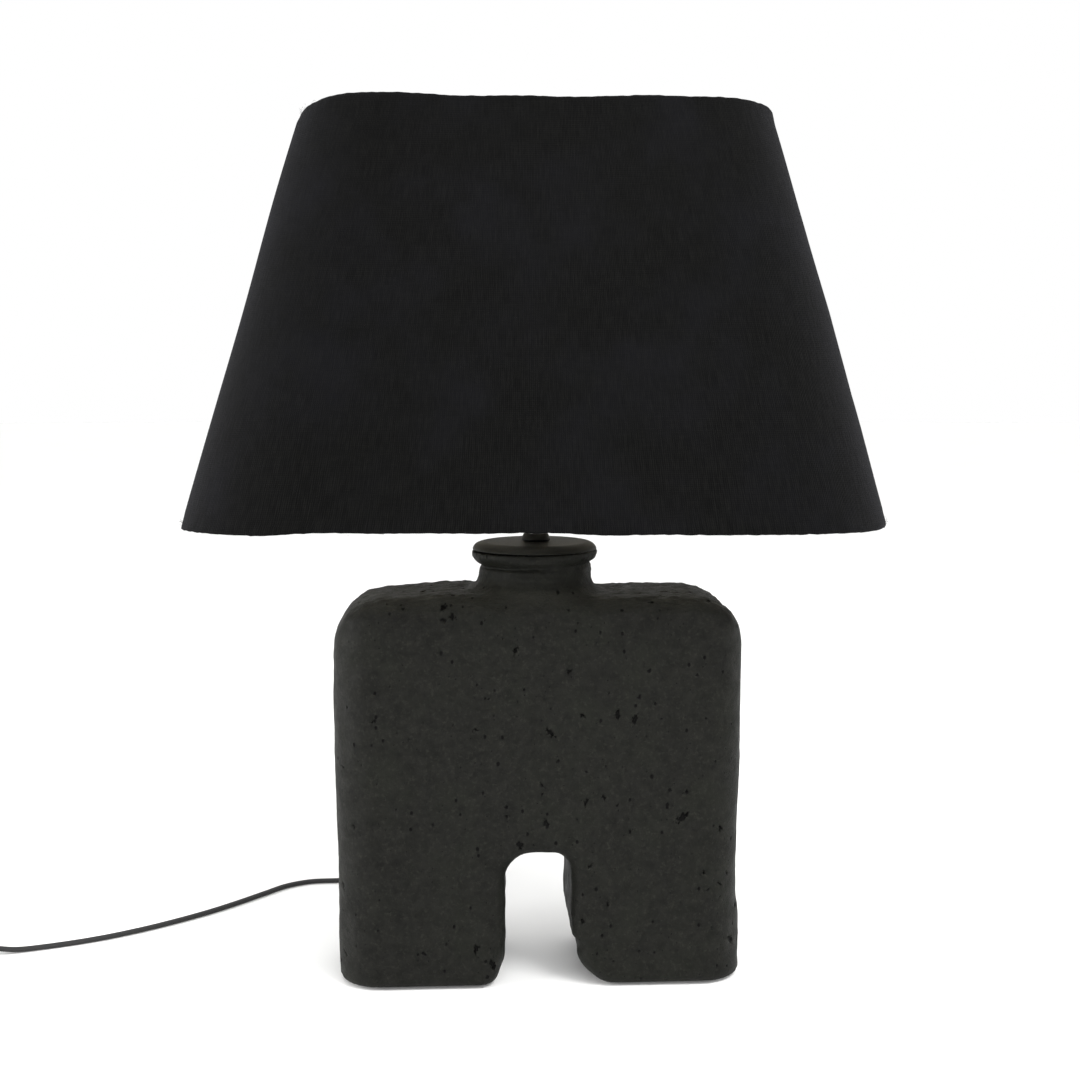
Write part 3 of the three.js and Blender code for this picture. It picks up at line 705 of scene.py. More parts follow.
def turned_points(outline: Profile, segments: int) -> np.ndarray:
    """Turns (radius, height) pairs about the upright axis.

    Args:
        outline: the pairs, in millimetres.
        segments: how many steps a full turn has.

    Returns:
        The points, one row after another.
    """
    angle = np.linspace(0, 2 * math.pi, segments, endpoint=False)
    radius, height = np.array(outline, float).T
    flat = np.stack([np.cos(angle), np.sin(angle)], -1)
    ring = radius[:, None, None] * flat[None]
    return np.concatenate([ring, np.broadcast_to(height[:, None, None], (*ring.shape[:2], 1))], -1).reshape(-1, 3)


def turned(
    name: str,
    outline: Profile,
    segments: int = ROUND,
    bend: Field | None = None,
) -> bpy.types.Object:
    """Turns a closed outline about the upright axis, as on a lathe.

    Args:
        outline: (radius, height) pairs in millimetres; an end on the axis closes there.
        segments: how many steps a full turn has.
        bend: moves the points before they become a mesh.

    Returns:
        The new piece.
    """
    closed = list(outline) if outline[0][0] == outline[-1][0] == 0 else [*outline, outline[0]]
    points = turned_points(closed, segments)
    if bend is not None:
        points = bend(points)
    return piece_of(name, points, joined_rows(len(closed), segments))


def eased(outline: Profile, ease: float, steps: int = 3) -> list[tuple[float, float]]:
    """Rounds the corners of a closed outline.

    Args:
        outline: its corners.
        ease: how far from a corner the rounding starts, at most.
        steps: how many steps a corner takes.

    Returns:
        The rounded outline.
    """
    corners = [Vector(p) for p in outline]
    made = []
    for i, corner in enumerate(corners):
        if corner.x == 0:
            made.append((0.0, corner.y))
            continue
        back, on = corners[i - 1] - corner, corners[(i + 1) % len(corners)] - corner
        start = corner + back.normalized() * min(ease, 0.45 * back.length)
        end = corner + on.normalized() * min(ease, 0.45 * on.length)
        for step in range(steps + 1):
            t = step / steps
            point = start * (1 - t) ** 2 + corner * (2 * t * (1 - t)) + end * t**2
            made.append((point.x, point.y))
    return made


def dense(outline: Profile, gap: float) -> list[tuple[float, float]]:
    """Adds points to an outline so that none are further apart than a gap.

    Args:
        outline: its points.
        gap: the largest distance between neighbours.

    Returns:
        The denser outline.
    """
    made = [outline[0]]
    for a, b in itertools.pairwise(outline):
        steps = max(1, math.ceil(math.dist(a, b) / gap))
        made += [(a[0] + (b[0] - a[0]) * k / steps, a[1] + (b[1] - a[1]) * k / steps) for k in range(1, steps + 1)]
    return made


def oblong(half_long: float, half_short: float, corner: float, steps: int = 8) -> np.ndarray:
    """Gives a rectangle with round corners.

    Args:
        half_long: half its first side.
        half_short: half its second side.
        corner: its corner radius.
        steps: how many steps a corner takes.

    Returns:
        Its points, anticlockwise.
    """
    corner = max(min(corner, half_long - 0.01, half_short - 0.01), 0.01)
    made = []
    for quarter, (sx, sy) in enumerate(((1, 1), (-1, 1), (-1, -1), (1, -1))):
        angle = (quarter + np.linspace(0, 1, steps + 1)) * math.pi / 2
        x = sx * (half_long - corner) + corner * np.cos(angle)
        y = sy * (half_short - corner) + corner * np.sin(angle)
        made.append(np.stack([x, y], -1))
    return np.concatenate(made)


def even_oblong(half_long: float, half_short: float, corner: float, steps: int, count: int) -> np.ndarray:
    """Gives a rectangle with round corners as evenly spaced points, from the middle of its right side.

    Args:
        half_long: half its first side.
        half_short: half its second side.
        corner: its corner radius.
        steps: how many steps a corner takes.
        count: how many points to give.

    Returns:
        Its points, anticlockwise.
    """
    loop = oblong(half_long, half_short, corner, steps)
    return even_loop(np.vstack([[[half_long, 0]], loop, [[half_long, -0.01]]]), count)


def even_loop(loop: np.ndarray, count: int) -> np.ndarray:
    """Spaces points evenly round a closed loop.

    Args:
        loop: the loop's corners.
        count: how many points to give.

    Returns:
        The evenly spaced points.
    """
    closed = np.vstack([loop, loop[:1]])
    run = np.concatenate([[0], np.cumsum(np.linalg.norm(np.diff(closed, axis=0), axis=1))])
    where = np.linspace(0, run[-1], count, endpoint=False)
    return np.stack([np.interp(where, run, closed[:, k]) for k in range(closed.shape[1])], -1)


def smooth_line(points: Sequence[Point], gap: float) -> np.ndarray:
    """Runs a smooth line through points and spaces it evenly.

    Args:
        points: the points it passes through.
        gap: the distance between its own points.

    Returns:
        The line's points.
    """
    given = np.array(points, float)
    given = np.vstack([2 * given[0] - given[1], given, 2 * given[-1] - given[-2]])
    made = [given[1:2]]
    for a, b, c, d in zip(given, given[1:], given[2:], given[3:]):
        knots = np.cumsum([0, *(math.dist(p, q) ** 0.5 for p, q in ((a, b), (b, c), (c, d)))])
        t = np.linspace(knots[1], knots[2], 25)[1:, None]

        def blend(i: int, j: int, p: np.ndarray, q: np.ndarray) -> np.ndarray:
            """Mixes two points or lines between two knots."""
            return (knots[j] - t) / (knots[j] - knots[i]) * p + (t - knots[i]) / (knots[j] - knots[i]) * q

        ab, bc, cd = blend(0, 1, a, b), blend(1, 2, b, c), blend(2, 3, c, d)
        made.append(blend(1, 2, blend(0, 2, ab, bc), blend(1, 3, bc, cd)))
    line = np.concatenate(made)
    run = np.concatenate([[0], np.cumsum(np.linalg.norm(np.diff(line, axis=0), axis=1))])
    where = np.linspace(0, run[-1], max(2, round(run[-1] / gap) + 1))
    return np.stack([np.interp(where, run, line[:, k]) for k in range(3)], -1)


def length_of(line: np.ndarray) -> float:
    """Measures a line along its points."""
    return float(np.linalg.norm(np.diff(line, axis=0), axis=1).sum())


def swept(
    name: str,
    line: np.ndarray,
    section: np.ndarray,
    up: Point = (0, 0, 1),
    around: bool = False,
) -> bpy.types.Object:
    """Sweeps a section along a line.

    Args:
        name: the piece's name.
        line: the line's points, in millimetres.
        section: the section's points: to the side, and up.
        up: the direction that the section's own up keeps closest to.
        around: whether the line closes on itself.

    Returns:
        The new piece, its ends closed.
    """
    if around:
        ahead = np.roll(line, -1, 0) - np.roll(line, 1, 0)
    else:
        ahead = np.gradient(line, axis=0)
    ahead /= np.linalg.norm(ahead, axis=1)[:, None]
    side = np.cross(ahead, np.array(up, float))
    side /= np.linalg.norm(side, axis=1)[:, None]
    lift = np.cross(side, ahead)
    rows = line[:, None] + side[:, None] * section[None, :, :1] + lift[:, None] * section[None, :, 1:]
    count = len(section)
    points = rows.reshape(-1, 3)
    faces = joined_rows(len(line), count)
    if around:
        start = (len(line) - 1) * count
        faces += [(start + i, start + (i + 1) % count, (i + 1) % count, i) for i in range(count)]
    else:
        faces += [tuple(range(count)), tuple(range(len(points) - count, len(points)))]
    return piece_of(name, points, faces, SOFT_CREASE)


def circle(radius: float, count: int = 16) -> np.ndarray:
    """Gives a round section."""
    angle = np.linspace(0, 2 * math.pi, count, endpoint=False)
    return radius * np.stack([np.cos(angle), np.sin(angle)], -1)


def ripple(points: np.ndarray, wave: float, seed: int, count: int = 16) -> np.ndarray:
    """Gives smooth random heights, mostly from -1 to 1.

    Args:
        points: where they are wanted.
        wave: the usual distance between two crests.
        seed: the random numbers' seed.
        count: how many waves are added up.

    Returns:
        One height a point.
    """
    lot = np.random.default_rng(seed)
    heading = lot.normal(size=(count, 3))
    heading /= np.linalg.norm(heading, axis=1)[:, None]
    pitch = 2 * math.pi / (wave * lot.uniform(0.7, 1.7, count))
    return np.sin(points @ (heading * pitch[:, None]).T + lot.uniform(0, 2 * math.pi, count)).sum(1) / math.sqrt(count)


def ramp(value: np.ndarray, low: float, high: float) -> np.ndarray:
    """Rises smoothly from 0 at low to 1 at high."""
    t = np.clip((value - low) / (high - low), 0, 1)
    return t * t * (3 - 2 * t)


def round_outside(a: np.ndarray, b: np.ndarray, radius: float) -> np.ndarray:
    """Keeps what is inside both distances, with their shared edge rounded.

    Args:
        a: the first distance.
        b: the second distance.
        radius: the edge's radius.

    Returns:
        The joint distance.
    """
    corner = np.hypot(np.maximum(a + radius, 0), np.maximum(b + radius, 0))
    return np.minimum(np.maximum(a, b), -radius) + corner


def net_surface(distance: Field, low: Point, high: Point, cell: float) -> tuple[np.ndarray, np.ndarray]:
    """Wraps the zero level of a distance field in four-sided faces.

    Args:
        distance: gives the signed distance of points, negative inside.
        low: the lowest corner of the space to search.
        high: its highest corner.
        cell: the size of a face.

    Returns:
        The points, and the faces' point numbers.
    """
    axes = [np.arange(a, b + cell, cell) for a, b in zip(low, high)]
    grid = np.stack(np.meshgrid(*axes, indexing="ij"), -1)
    shape = grid.shape[:3]
    value = distance(grid.reshape(-1, 3)).reshape(shape)
    cells = tuple(n - 1 for n in shape)

    def corner(offset: Sequence[int]) -> np.ndarray:
        """Gives every cell's value at one of its corners."""
        return value[tuple(slice(o, o + n) for o, n in zip(offset, cells))]

    total = np.zeros((*cells, 3))
    hits = np.zeros(cells)
    for axis in range(3):
        others = [k for k in range(3) if k != axis]
        for pair in itertools.product((0, 1), repeat=2):
            start = np.zeros(3, int)
            start[others] = pair
            end = start.copy()
            end[axis] = 1
            a, b = corner(start), corner(end)
            cross = (a < 0) != (b < 0)
            share = np.where(cross, a / np.where(cross, a - b, 1), 0)
            spot = np.broadcast_to(start, (*cells, 3)).astype(float).copy()
            spot[..., axis] = share
            total += spot * cross[..., None]
            hits += cross
    used = hits > 0
    number = np.full(cells, -1)
    number[used] = np.arange(used.sum())
    points = np.array(low) + cell * (np.argwhere(used) + total[used] / hits[used][:, None])
    faces = []
    for axis in range(3):
        u, v = [k for k in range(3) if k != axis]
        inside = value < 0
        a = inside[tuple(slice(0, -1) if k == axis else slice(1, -1) for k in range(3))]
        b = inside[tuple(slice(1, None) if k == axis else slice(1, -1) for k in range(3))]
        at = np.argwhere(a != b)
        at[:, [u, v]] += 1
        quad = []
        for du, dv in ((-1, -1), (0, -1), (0, 0), (-1, 0)):
            near = at.copy()
            near[:, u] += du
            near[:, v] += dv
            quad.append(number[tuple(near.T)])
        faces.append(np.stack(quad, -1))
    return points, np.concatenate(faces)


def slope(distance: Field, points: np.ndarray) -> np.ndarray:
    """Measures how a distance field rises at points.

    Args:
        distance: the field.
        points: where it is measured.

    Returns:
        The gradient at each point.
    """
    made = np.empty_like(points)
    for axis in range(3):
        shift = np.zeros(3)
        shift[axis] = LOOK
        made[:, axis] = (distance(points + shift) - distance(points - shift)) / (2 * LOOK)
    return made


def settle(distance: Field, points: np.ndarray, rounds: int = 3) -> np.ndarray:
    """Moves points onto the zero level of a distance field.

    Args:
        distance: the field.
        points: the points to move.
        rounds: how many times they move.

    Returns:
        The moved points.
    """
    for _ in range(rounds):
        rise = slope(distance, points)
        move = distance(points)[:, None] * rise / np.maximum((rise**2).sum(1), 0.05)[:, None]
        points = points - np.clip(move, -1.5, 1.5)
    return points


# ---- assemblies ----


@dataclass
class Assembly:
    """Pieces that belong together and ride on one body."""

    body: str = "root"

    def fit(self, piece: bpy.types.Object, finish: Finish, *nodes: str) -> bpy.types.Object:
        """Dresses a new piece and fixes it to the body.

        Args:
            piece: the piece.
            finish: what it wears.
            nodes: the frame's nodes that it stands for.

        Returns:
            The piece.
        """
        finish.dress(piece)
        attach(piece, self.body)
        if nodes:
            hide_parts(*nodes)
        LOG.info("%s: %d faces", piece.name, len(piece.data.polygons))
        return piece

    def keep(self, finish: Finish, *nodes: str) -> None:
        """Dresses nodes whose own shape is right.

        Args:
            finish: what they wear.
            nodes: their names.
        """
        for node in nodes:
            finish.dress(frame["nodes"][node])
            LOG.info("%s: kept, in %s", node, finish.name)


@dataclass
class CeramicBase(Assembly):
    """The hollow stoneware body with its two feet, its arch and its thrown neck."""

    half_width: float = 130
    half_depth: float = 46
    corner: float = 28
    bottom: float = 1.8
    top: float = 252
    side_round: float = 33
    front_round: float = 18
    foot_round: float = 3.0
    swell: float = 1.9
    right_swell: float = 2.2
    aside: float = 1.0
    arch_half: float = 22.3
    arch_top: float = 87
    arch_corner: float = 17
    arch_edge: float = 11.5
    flares: tuple[float, float] = (7, 16)
    flare_height: float = 27
    waist: float = 36.1
    lip: float = 40.3
    lip_height: float = 276.5
    lip_top: float = 278.7
    mouth: float = 29.5
    mouth_top: float = 283
    neck_fillet: float = 11
    lip_steps: tuple[float, ...] = (-6.8, -5.2, -3, -1.2, 0, 0.9, 1.7, 2.3, 2.6)
    lip_swells: tuple[float, ...] = (0, 0, 0.8, 2.6, 3.5, 3.85, 3.85, 3.75, 3.45, 0.15, 0.15)
    lip_left: Table = ((268, 275, 278.9, 279.1), (0.9, 1.7, 1.7, 0))
    groove_depth: float = 1.7
    hump: float = 2.3
    hump_at: float = -56
    hump_wide: float = 27
    cell: float = 2.8
    finest: float = 0.5
    pits: int = 195

    def neck_radius(self, points: np.ndarray) -> np.ndarray:
        """Gives the thrown neck's radius: a waist, an uneven groove, and a lip that leans a little.

        Args:
            points: where it is wanted.

        Returns:
            One radius a point.
        """
        lean = points[:, 0] / self.lip
        height = points[:, 2] - 0.5 * lean
        drop = self.lip_height
        steps = np.array([200, *(drop + np.array(self.lip_steps)), 300])
        wider = ramp(-lean, 0.1, 1.0) * np.interp(height, *self.lip_left)
        radius = self.waist + np.interp(height, steps, self.lip_swells) + wider
        faded = 1 - 0.85 * ramp(lean, -0.1, 0.25) * ramp(lean, 0.75, 0.4) * (points[:, 1] < 0)
        groove = np.exp(-(((height - 0.9 * lean - drop + 6.1) / 1.5) ** 2)) * faded
        rings = 0.07 * np.sin(height * 1.7 + 2.2 * lean) * ramp(height, self.top + 4, self.top + 9)
        return radius - self.groove_depth * groove + rings * ramp(height, drop - 4, drop - 7)

    def body_distance(self, points: np.ndarray) -> np.ndarray:
        """Measures to the body without its neck.

        Args:
            points: where it is measured.

        Returns:
            The distances, negative inside.
        """
        x, y, z = points.T
        x = x - self.aside
        wide = self.half_width + self.swell * ramp(z, 70, 160) + self.right_swell * ramp(z, 56, 38) * (x > 0)
        out_x, out_y = np.abs(x) - (wide - self.corner), np.abs(y) - (self.half_depth - self.corner)
        inside = np.minimum(np.maximum(out_x, out_y), 0)
        plan = np.hypot(np.maximum(out_x, 0), np.maximum(out_y, 0)) + inside - self.corner
        over_x = np.maximum(np.abs(x) - wide + self.side_round, 0)
        over_y = np.maximum(np.abs(y) - self.half_depth + self.front_round, 0)
        fall_x = np.sqrt(np.maximum(self.side_round**2 - over_x**2, 1))
        fall_y = np.sqrt(np.maximum(self.front_round**2 - over_y**2, 1))
        ceiling = self.top - (self.side_round - fall_x) - (self.front_round - fall_y)
        ceiling = ceiling + self.hump * np.exp(-(((x - self.hump_at) / self.hump_wide) ** 2))
        steep = np.sqrt(1 + np.minimum(over_x / fall_x, 8) ** 2 + np.minimum(over_y / fall_y, 8) ** 2)
        shell = np.maximum(plan, (z - ceiling) / steep)
        low = np.clip(1 - (z - self.bottom) / self.flare_height, 0, 1.3) ** 2.2
        flare = np.where(x < 0, *self.flares) * low
        tight = 2.3 * ramp(z, 29, 34) * ramp(z, 92, 66)
        notch = (2.8 * np.exp(-(((z - 25) / 4.5) ** 2)) - tight) * (x > 0)
        side = np.abs(x) - self.arch_half - flare - notch
        arch = round_outside(side, z - self.arch_top - 0.02 * x, self.arch_corner)
        shell = round_outside(shell, -arch, self.arch_edge)
        return round_outside(shell, self.bottom - z, self.foot_round)

    def distance(self, points: np.ndarray) -> np.ndarray:
        """Measures to the whole base.

        Args:
            points: where it is measured.

        Returns:
            The distances, negative inside.
        """
        z = points[:, 2]
        across = np.hypot(points[:, 0], points[:, 1])
        neck = np.maximum(across - self.neck_radius(points), np.maximum(z - self.mouth_top, self.top - 40 - z))
        body = self.body_distance(points)
        blend = self.neck_fillet
        whole = -round_outside(-body, -neck, blend)
        whole = np.where(z > self.top + blend + 2, np.minimum(body, neck), whole)
        mouth = np.maximum(across - self.mouth, self.top - 26 - z)
        return np.maximum(whole, -mouth)

    def refine(self, work: bmesh.types.BMesh, chosen: Field) -> None:
        """Splits each chosen face in four.

        Args:
            work: the mesh, in millimetres.
            chosen: says which face middles are chosen.
        """
        middles = np.array([f.calc_center_median() for f in work.faces])
        coarse = np.array([f.calc_area() for f in work.faces]) > self.finest**2
        mask = chosen(middles) & coarse
        edges = {e for f, hit in zip(list(work.faces), mask) if hit for e in f.edges}
        bmesh.ops.subdivide_edges(work, edges=list(edges), cuts=1, use_grid_fill=True)
        ragged = [f for f in work.faces if len(f.verts) > 4]
        bmesh.ops.triangulate(work, faces=ragged)

    def soften(self, points: np.ndarray, pairs: np.ndarray, share: np.ndarray, rounds: int) -> np.ndarray:
        """Evens points out towards the middle of their neighbours.

        Args:
            points: the points.
            pairs: which points are joined by an edge.
            share: how far each one moves.
            rounds: how many times.

        Returns:
            The softened points.
        """
        count = np.bincount(pairs.ravel(), minlength=len(points))[:, None]
        for _ in range(rounds):
            total = np.zeros_like(points)
            np.add.at(total, pairs[:, 0], points[pairs[:, 1]])
            np.add.at(total, pairs[:, 1], points[pairs[:, 0]])
            points = points + share[:, None] * (total / np.maximum(count, 1) - points)
        return points

    def build(self) -> None:
        """Wraps the body in faces, refines its neck and pits, and wears it as if shaped by hand."""
        low = (-self.half_width - 4, -self.half_depth - 4, self.bottom - 4)
        high = (self.half_width + 4, self.half_depth + 4, self.mouth_top + 4)
        points, faces = net_surface(self.distance, low, high, self.cell)
        points = settle(self.distance, points)
        edges = np.concatenate([faces[:, [a, (a + 1) % 4]] for a in range(4)])
        pairs = np.unique(np.sort(edges, 1), axis=0)
        points = self.soften(points, pairs, np.full(len(points), 0.45), 3)
        points = settle(self.distance, points, 1)
        in_corner = ramp(np.abs(points[:, 0]), 92, 108) * ramp(np.abs(points[:, 1]), 8, 20)
        in_corner *= ramp(points[:, 2], 196, 214)
        points = self.soften(points, pairs, 0.5 * in_corner, 14)

        work = bmesh.new()
        handles = [work.verts.new(p) for p in points]
        for quad in faces.tolist():
            work.faces.new([handles[i] for i in quad])
        bmesh.ops.recalc_face_normals(work, faces=work.faces)
        work.normal_update()

        def at_neck(spot: np.ndarray) -> np.ndarray:
            """Chooses the neck's outside, from the fillet to the seat."""
            across = np.hypot(spot[:, 0], spot[:, 1])
            return (spot[:, 2] > self.top + 1.5) & (spot[:, 2] < self.lip_top + 1.5) & (across > self.mouth + 2)

        def at_shoulder(spot: np.ndarray) -> np.ndarray:
            """Chooses the scraped tops of the shoulders."""
            at_end = np.abs(spot[:, 0]) > self.half_width - self.side_round
            start = np.where(at_end, self.top - self.side_round - 3, self.top - 8)
            outside = np.hypot(spot[:, 0], spot[:, 1]) > self.mouth + 2
            return (spot[:, 2] > start) & (spot[:, 2] < self.top + 1.5) & outside

        seeds = points
        self.refine(work, at_shoulder)
        for _ in range(2):
            self.refine(work, at_neck)
        work.verts.ensure_lookup_table()
        points = np.array([v.co for v in work.verts])
        fine = at_neck(points)
        points[fine] = settle(self.distance, points[fine], 3)
        for vert, spot in zip(work.verts, points):
            vert.co = spot
        self.pit(work, seeds)
        self.wear(work)
        mesh = bpy.data.meshes.new("stoneware_body")
        for vert in work.verts:
            vert.co *= MM
        bmesh.ops.recalc_face_normals(work, faces=work.faces)
        work.to_mesh(mesh)
        work.free()
        mesh.shade_smooth()
        self.fit(placed("stoneware_body", mesh), STONEWARE, "base_body")
        self.keep(FELT, "felt_pad_left", "felt_pad_right")

    def pit(self, work: bmesh.types.BMesh, seeds: np.ndarray) -> None:
        """Opens the clay's larger pits: small uneven hollows, some of them long.

        Args:
            work: the mesh, in millimetres.
            seeds: evenly spread points of the surface, where a pit may lie.
        """
        lot = np.random.default_rng(7)
        across = np.hypot(seeds[:, 0], seeds[:, 1])
        open_air = (seeds[:, 2] < self.top + 4) & (seeds[:, 2] > 8) & (across > self.mouth + 6)
        centres = settle(self.distance, seeds[lot.choice(np.flatnonzero(open_air), self.pits, replace=False)])
        facing = slope(self.distance, centres)
        facing /= np.linalg.norm(facing, axis=1)[:, None]
        sizes = 0.7 + 1.25 * lot.random(self.pits) ** 2
        longer = 1 + 1.7 * lot.random(self.pits) ** 2
        heading = np.cross(facing, lot.normal(size=(self.pits, 3)) + np.array([2.0, 0, 0]))
        heading /= np.linalg.norm(heading, axis=1)[:, None]

        def near(k: int, tree: KDTree, reach: float) -> np.ndarray:
            """Finds the points within reach of a pit's rim."""
            found = tree.find_range(centres[k], sizes[k] * longer[k] + reach)
            hits = [(i, Vector(spot) - Vector(centres[k])) for spot, i, _ in found]
            aside = [(i, gap.length_squared - gap.dot(heading[k]) ** 2) for i, gap in hits]
            return np.array([i for i, wide in aside if wide < (sizes[k] + reach) ** 2], int)

        def planted(spots: np.ndarray) -> KDTree:
            """Makes a search tree of points."""
            tree = KDTree(len(spots))
            for i, spot in enumerate(spots):
                tree.insert(spot, i)
            tree.balance()
            return tree

        for reach in (1.3, 0.6, 0.25):

            def by_a_pit(spots: np.ndarray) -> np.ndarray:
                """Chooses the faces near any pit."""
                tree, mask = planted(spots), np.zeros(len(spots), bool)
                for k in range(self.pits):
                    mask[near(k, tree, reach)] = True
                return mask

            self.refine(work, by_a_pit)
        points = np.array([v.co for v in work.verts])
        tree = planted(points)
        uneven = 1 + 0.34 * ripple(points, 1.7, 11)
        sunk = np.zeros(len(points))
        drop = np.zeros_like(points)
        for k in range(self.pits):
            at = near(k, tree, 0.6)
            gap = points[at] - centres[k]
            along = gap @ heading[k]
            rest = np.maximum((gap**2).sum(1) - along**2, 0)
            share = np.sqrt(rest + (along / longer[k]) ** 2) / sizes[k]
            fall = ramp(share * uneven[at], 1.1, 0.4)
            deeper = fall > sunk[at]
            sunk[at[deeper]] = fall[deeper]
            drop[at[deeper]] = -facing[k] * (fall[deeper] * sizes[k] * 0.9)[:, None]
        # the pit layer keeps how deep each point lies in a pit; the stoneware lays painted shade there
        layer = work.verts.layers.float.new("pit")
        for vert, move, dark in zip(work.verts, drop, sunk):
            vert.co += Vector(move)
            vert[layer] = float(dark)

    def wear(self, work: bmesh.types.BMesh) -> None:
        """Leaves the marks of the hand: slow swells, lumpy edges and scraped shoulders.

        Args:
            work: the mesh, in millimetres.
        """
        work.normal_update()
        points = np.array([v.co for v in work.verts])
        normals = np.array([v.normal for v in work.verts])
        across = np.hypot(points[:, 0], points[:, 1])
        free = ramp(points[:, 2], self.bottom + 1, self.bottom + 12) * ramp(across, self.waist + 2, self.waist + 14)
        bent = 1 - np.abs(normals).max(1)
        height = 0.55 * ripple(points, 85, 1) + 0.22 * ripple(points, 24, 2) * (0.4 + 2 * bent)
        height += 0.1 * ripple(points, 9, 3)
        shoulder = ramp(points[:, 2], self.top - 18, self.top - 6) * ramp(normals[:, 2], 0.1, 0.6)
        scraped = ripple(points * np.array([0.6, 1, 1]), 6, 4, 24)
        height += shoulder * (0.25 * scraped + 0.13 * ripple(points, 3.4, 5, 24))
        height *= free
        edge = ramp(np.abs(points[:, 0]), self.arch_half + 14, self.arch_half)
        edge = edge * ramp(points[:, 2], self.arch_top + 12, self.arch_top)
        height += 0.3 * edge * ripple(points, 14, 6) * ramp(points[:, 2], 6, 16)
        neck = ramp(points[:, 2], self.top + 3, self.top + 8) * (points[:, 2] < self.lip_top - 0.3)
        neck = neck * (across > self.mouth + 3)
        height += neck * (0.13 * ripple(points * np.array([1, 1, 3]), 16, 8) + 0.05 * ripple(points, 3, 9))
        for vert, normal, rise in zip(work.verts, normals, height):
            vert.co += Vector(normal) * float(rise)


@dataclass
class NeckFittings(Assembly):
    """The cap over the neck, the nut on it, the stem, and the clamp inside."""

    radius: float = 37.9
    top: float = 284.5
    skirt: float = 5
    metal: float = 1.2
    hole: float = 5.3
    nut_radius: float = 9.3
    nut_height: float = 4.8
    stem_radius: float = 6.8
    gap: float = 0.3

    def build(self) -> None:
        """Turns the cap, nut and stem, and dresses the clamp."""
        under = self.top - self.metal
        cap = eased(
            [
                (self.hole, under),
                (self.radius - self.metal - 0.2, under - 0.1),
                (self.radius - self.metal, self.top - self.skirt),
                (self.radius + 1.75, self.top - self.skirt),
                (self.radius + 1.7, self.top - 4.3),
                (self.radius + 1.15, self.top - 3.1),
                (self.radius + 0.25, self.top - 2.0),
                (self.radius - 1.1, self.top - 1.0),
                (self.radius - 2.6, self.top - 0.35),
                (self.radius - 4.3, self.top),
                (self.radius - 9, self.top - 0.12),
                (12, self.top - 0.1),
                (self.hole, self.top),
            ],
            0.9,
            5,
        )

        def widen(points: np.ndarray) -> np.ndarray:
            """Pulls the rim out a little on its left, as the lip under it is."""
            across = np.hypot(points[:, 0], points[:, 1])
            pull = 1.6 * ramp(-points[:, 0], 4, 38) * ramp(across, self.radius - 5, self.radius)
            return points - pull[:, None] * np.array([1, 0, 0])

        self.fit(turned("satin_cap", cap, 160, widen), CAP_METAL, "neck_cap")
        bottom = self.top + self.gap
        nut = eased(
            [
                (self.hole, bottom),
                (self.nut_radius - 0.5, bottom),
                (self.nut_radius, bottom + 0.5),
                (self.nut_radius, bottom + 1.9),
                (7.8, bottom + self.nut_height),
                (self.hole, bottom + self.nut_height),
            ],
            0.35,
        )
        self.fit(turned("turned_nut", nut), BLACK_METAL, "neck_nut")
        low, high = (v.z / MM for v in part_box("stem_tube"))
        stem = eased([(self.hole, low), (self.stem_radius, low), (self.stem_radius, high), (self.hole, high)], 0.4)
        self.fit(turned("stem_sleeve", stem, 80), BLACK_METAL, "stem_tube")
        self.keep(ZINC, "threaded_tube", "clamp_bar", "clamp_washer", "clamp_nut")
        self.keep(SHEATH, "inner_lead")


@dataclass
class BulbHolder(Assembly):
    """The screw holder on the stem, with its thread for the shade ring."""

    pitch: float = 2.6
    barrel: float = 19.3
    flange: float = 23
    seam: float = 333
    flange_top: float = 336
    rim: float = 366
    bore: float = 14.4
    bottom: float = 311.8
    hole: float = 5.3

    def threads(self, points: np.ndarray) -> np.ndarray:
        """Cuts the shade ring's thread into the barrel.

        Args:
            points: the barrel's points.

        Returns:
            The points with a thread.
        """
        made = points.copy()
        across = np.hypot(made[:, 0], made[:, 1])
        turn = np.arctan2(made[:, 1], made[:, 0]) / (2 * math.pi)
        inside = ramp(made[:, 2], self.flange_top + 0.8, self.flange_top + 2.5)
        inside = inside * ramp(made[:, 2], self.rim - 1.5, self.rim - 4)
        wave = 0.5 - 0.5 * np.cos(2 * math.pi * (made[:, 2] / self.pitch - turn))
        cut = 0.85 * inside * wave * (across > self.barrel - 0.6)
        made[:, :2] *= (1 - cut / np.maximum(across, 1))[:, None]
        return made

    def build(self) -> None:
        """Turns the cap and barrel, and dresses the contacts."""
        cap = eased(
            [
                (self.hole, self.bottom),
                (9.7, self.bottom),
                (10.5, self.bottom + 1),
                (10.5, self.bottom + 4.2),
                (17.6, self.bottom + 8.2),
                (19.5, self.bottom + 12.2),
                (19.5, self.seam - 0.3),
                (17.6, self.seam - 0.3),
                (17.6, self.bottom + 12.4),
                (16, self.bottom + 9.5),
                (9.4, self.bottom + 6),
                (self.hole, self.bottom + 6),
            ],
            0.8,
        )
        self.fit(turned("holder_dome", cap), PLASTIC, "holder_cap")
        shell = [
            (self.bore, self.seam),
            (self.flange - 0.6, self.seam),
            (self.flange, self.seam + 0.6),
            (self.flange, self.flange_top - 0.5),
            (self.flange - 0.5, self.flange_top),
            (self.barrel, self.flange_top),
            (self.barrel, self.rim - 1),
            (self.barrel - 1, self.rim),
            (self.bore + 0.4, self.rim),
            (self.bore, self.rim - 0.4),
        ]
        self.fit(turned("holder_barrel", dense(shell, 0.35), 128, self.threads), PLASTIC, "holder_shell")
        self.keep(PORCELAIN, "holder_insert")
        self.keep(BRASS, "terminal_screw_left", "terminal_screw_right", "screw_shell", "centre_contact")


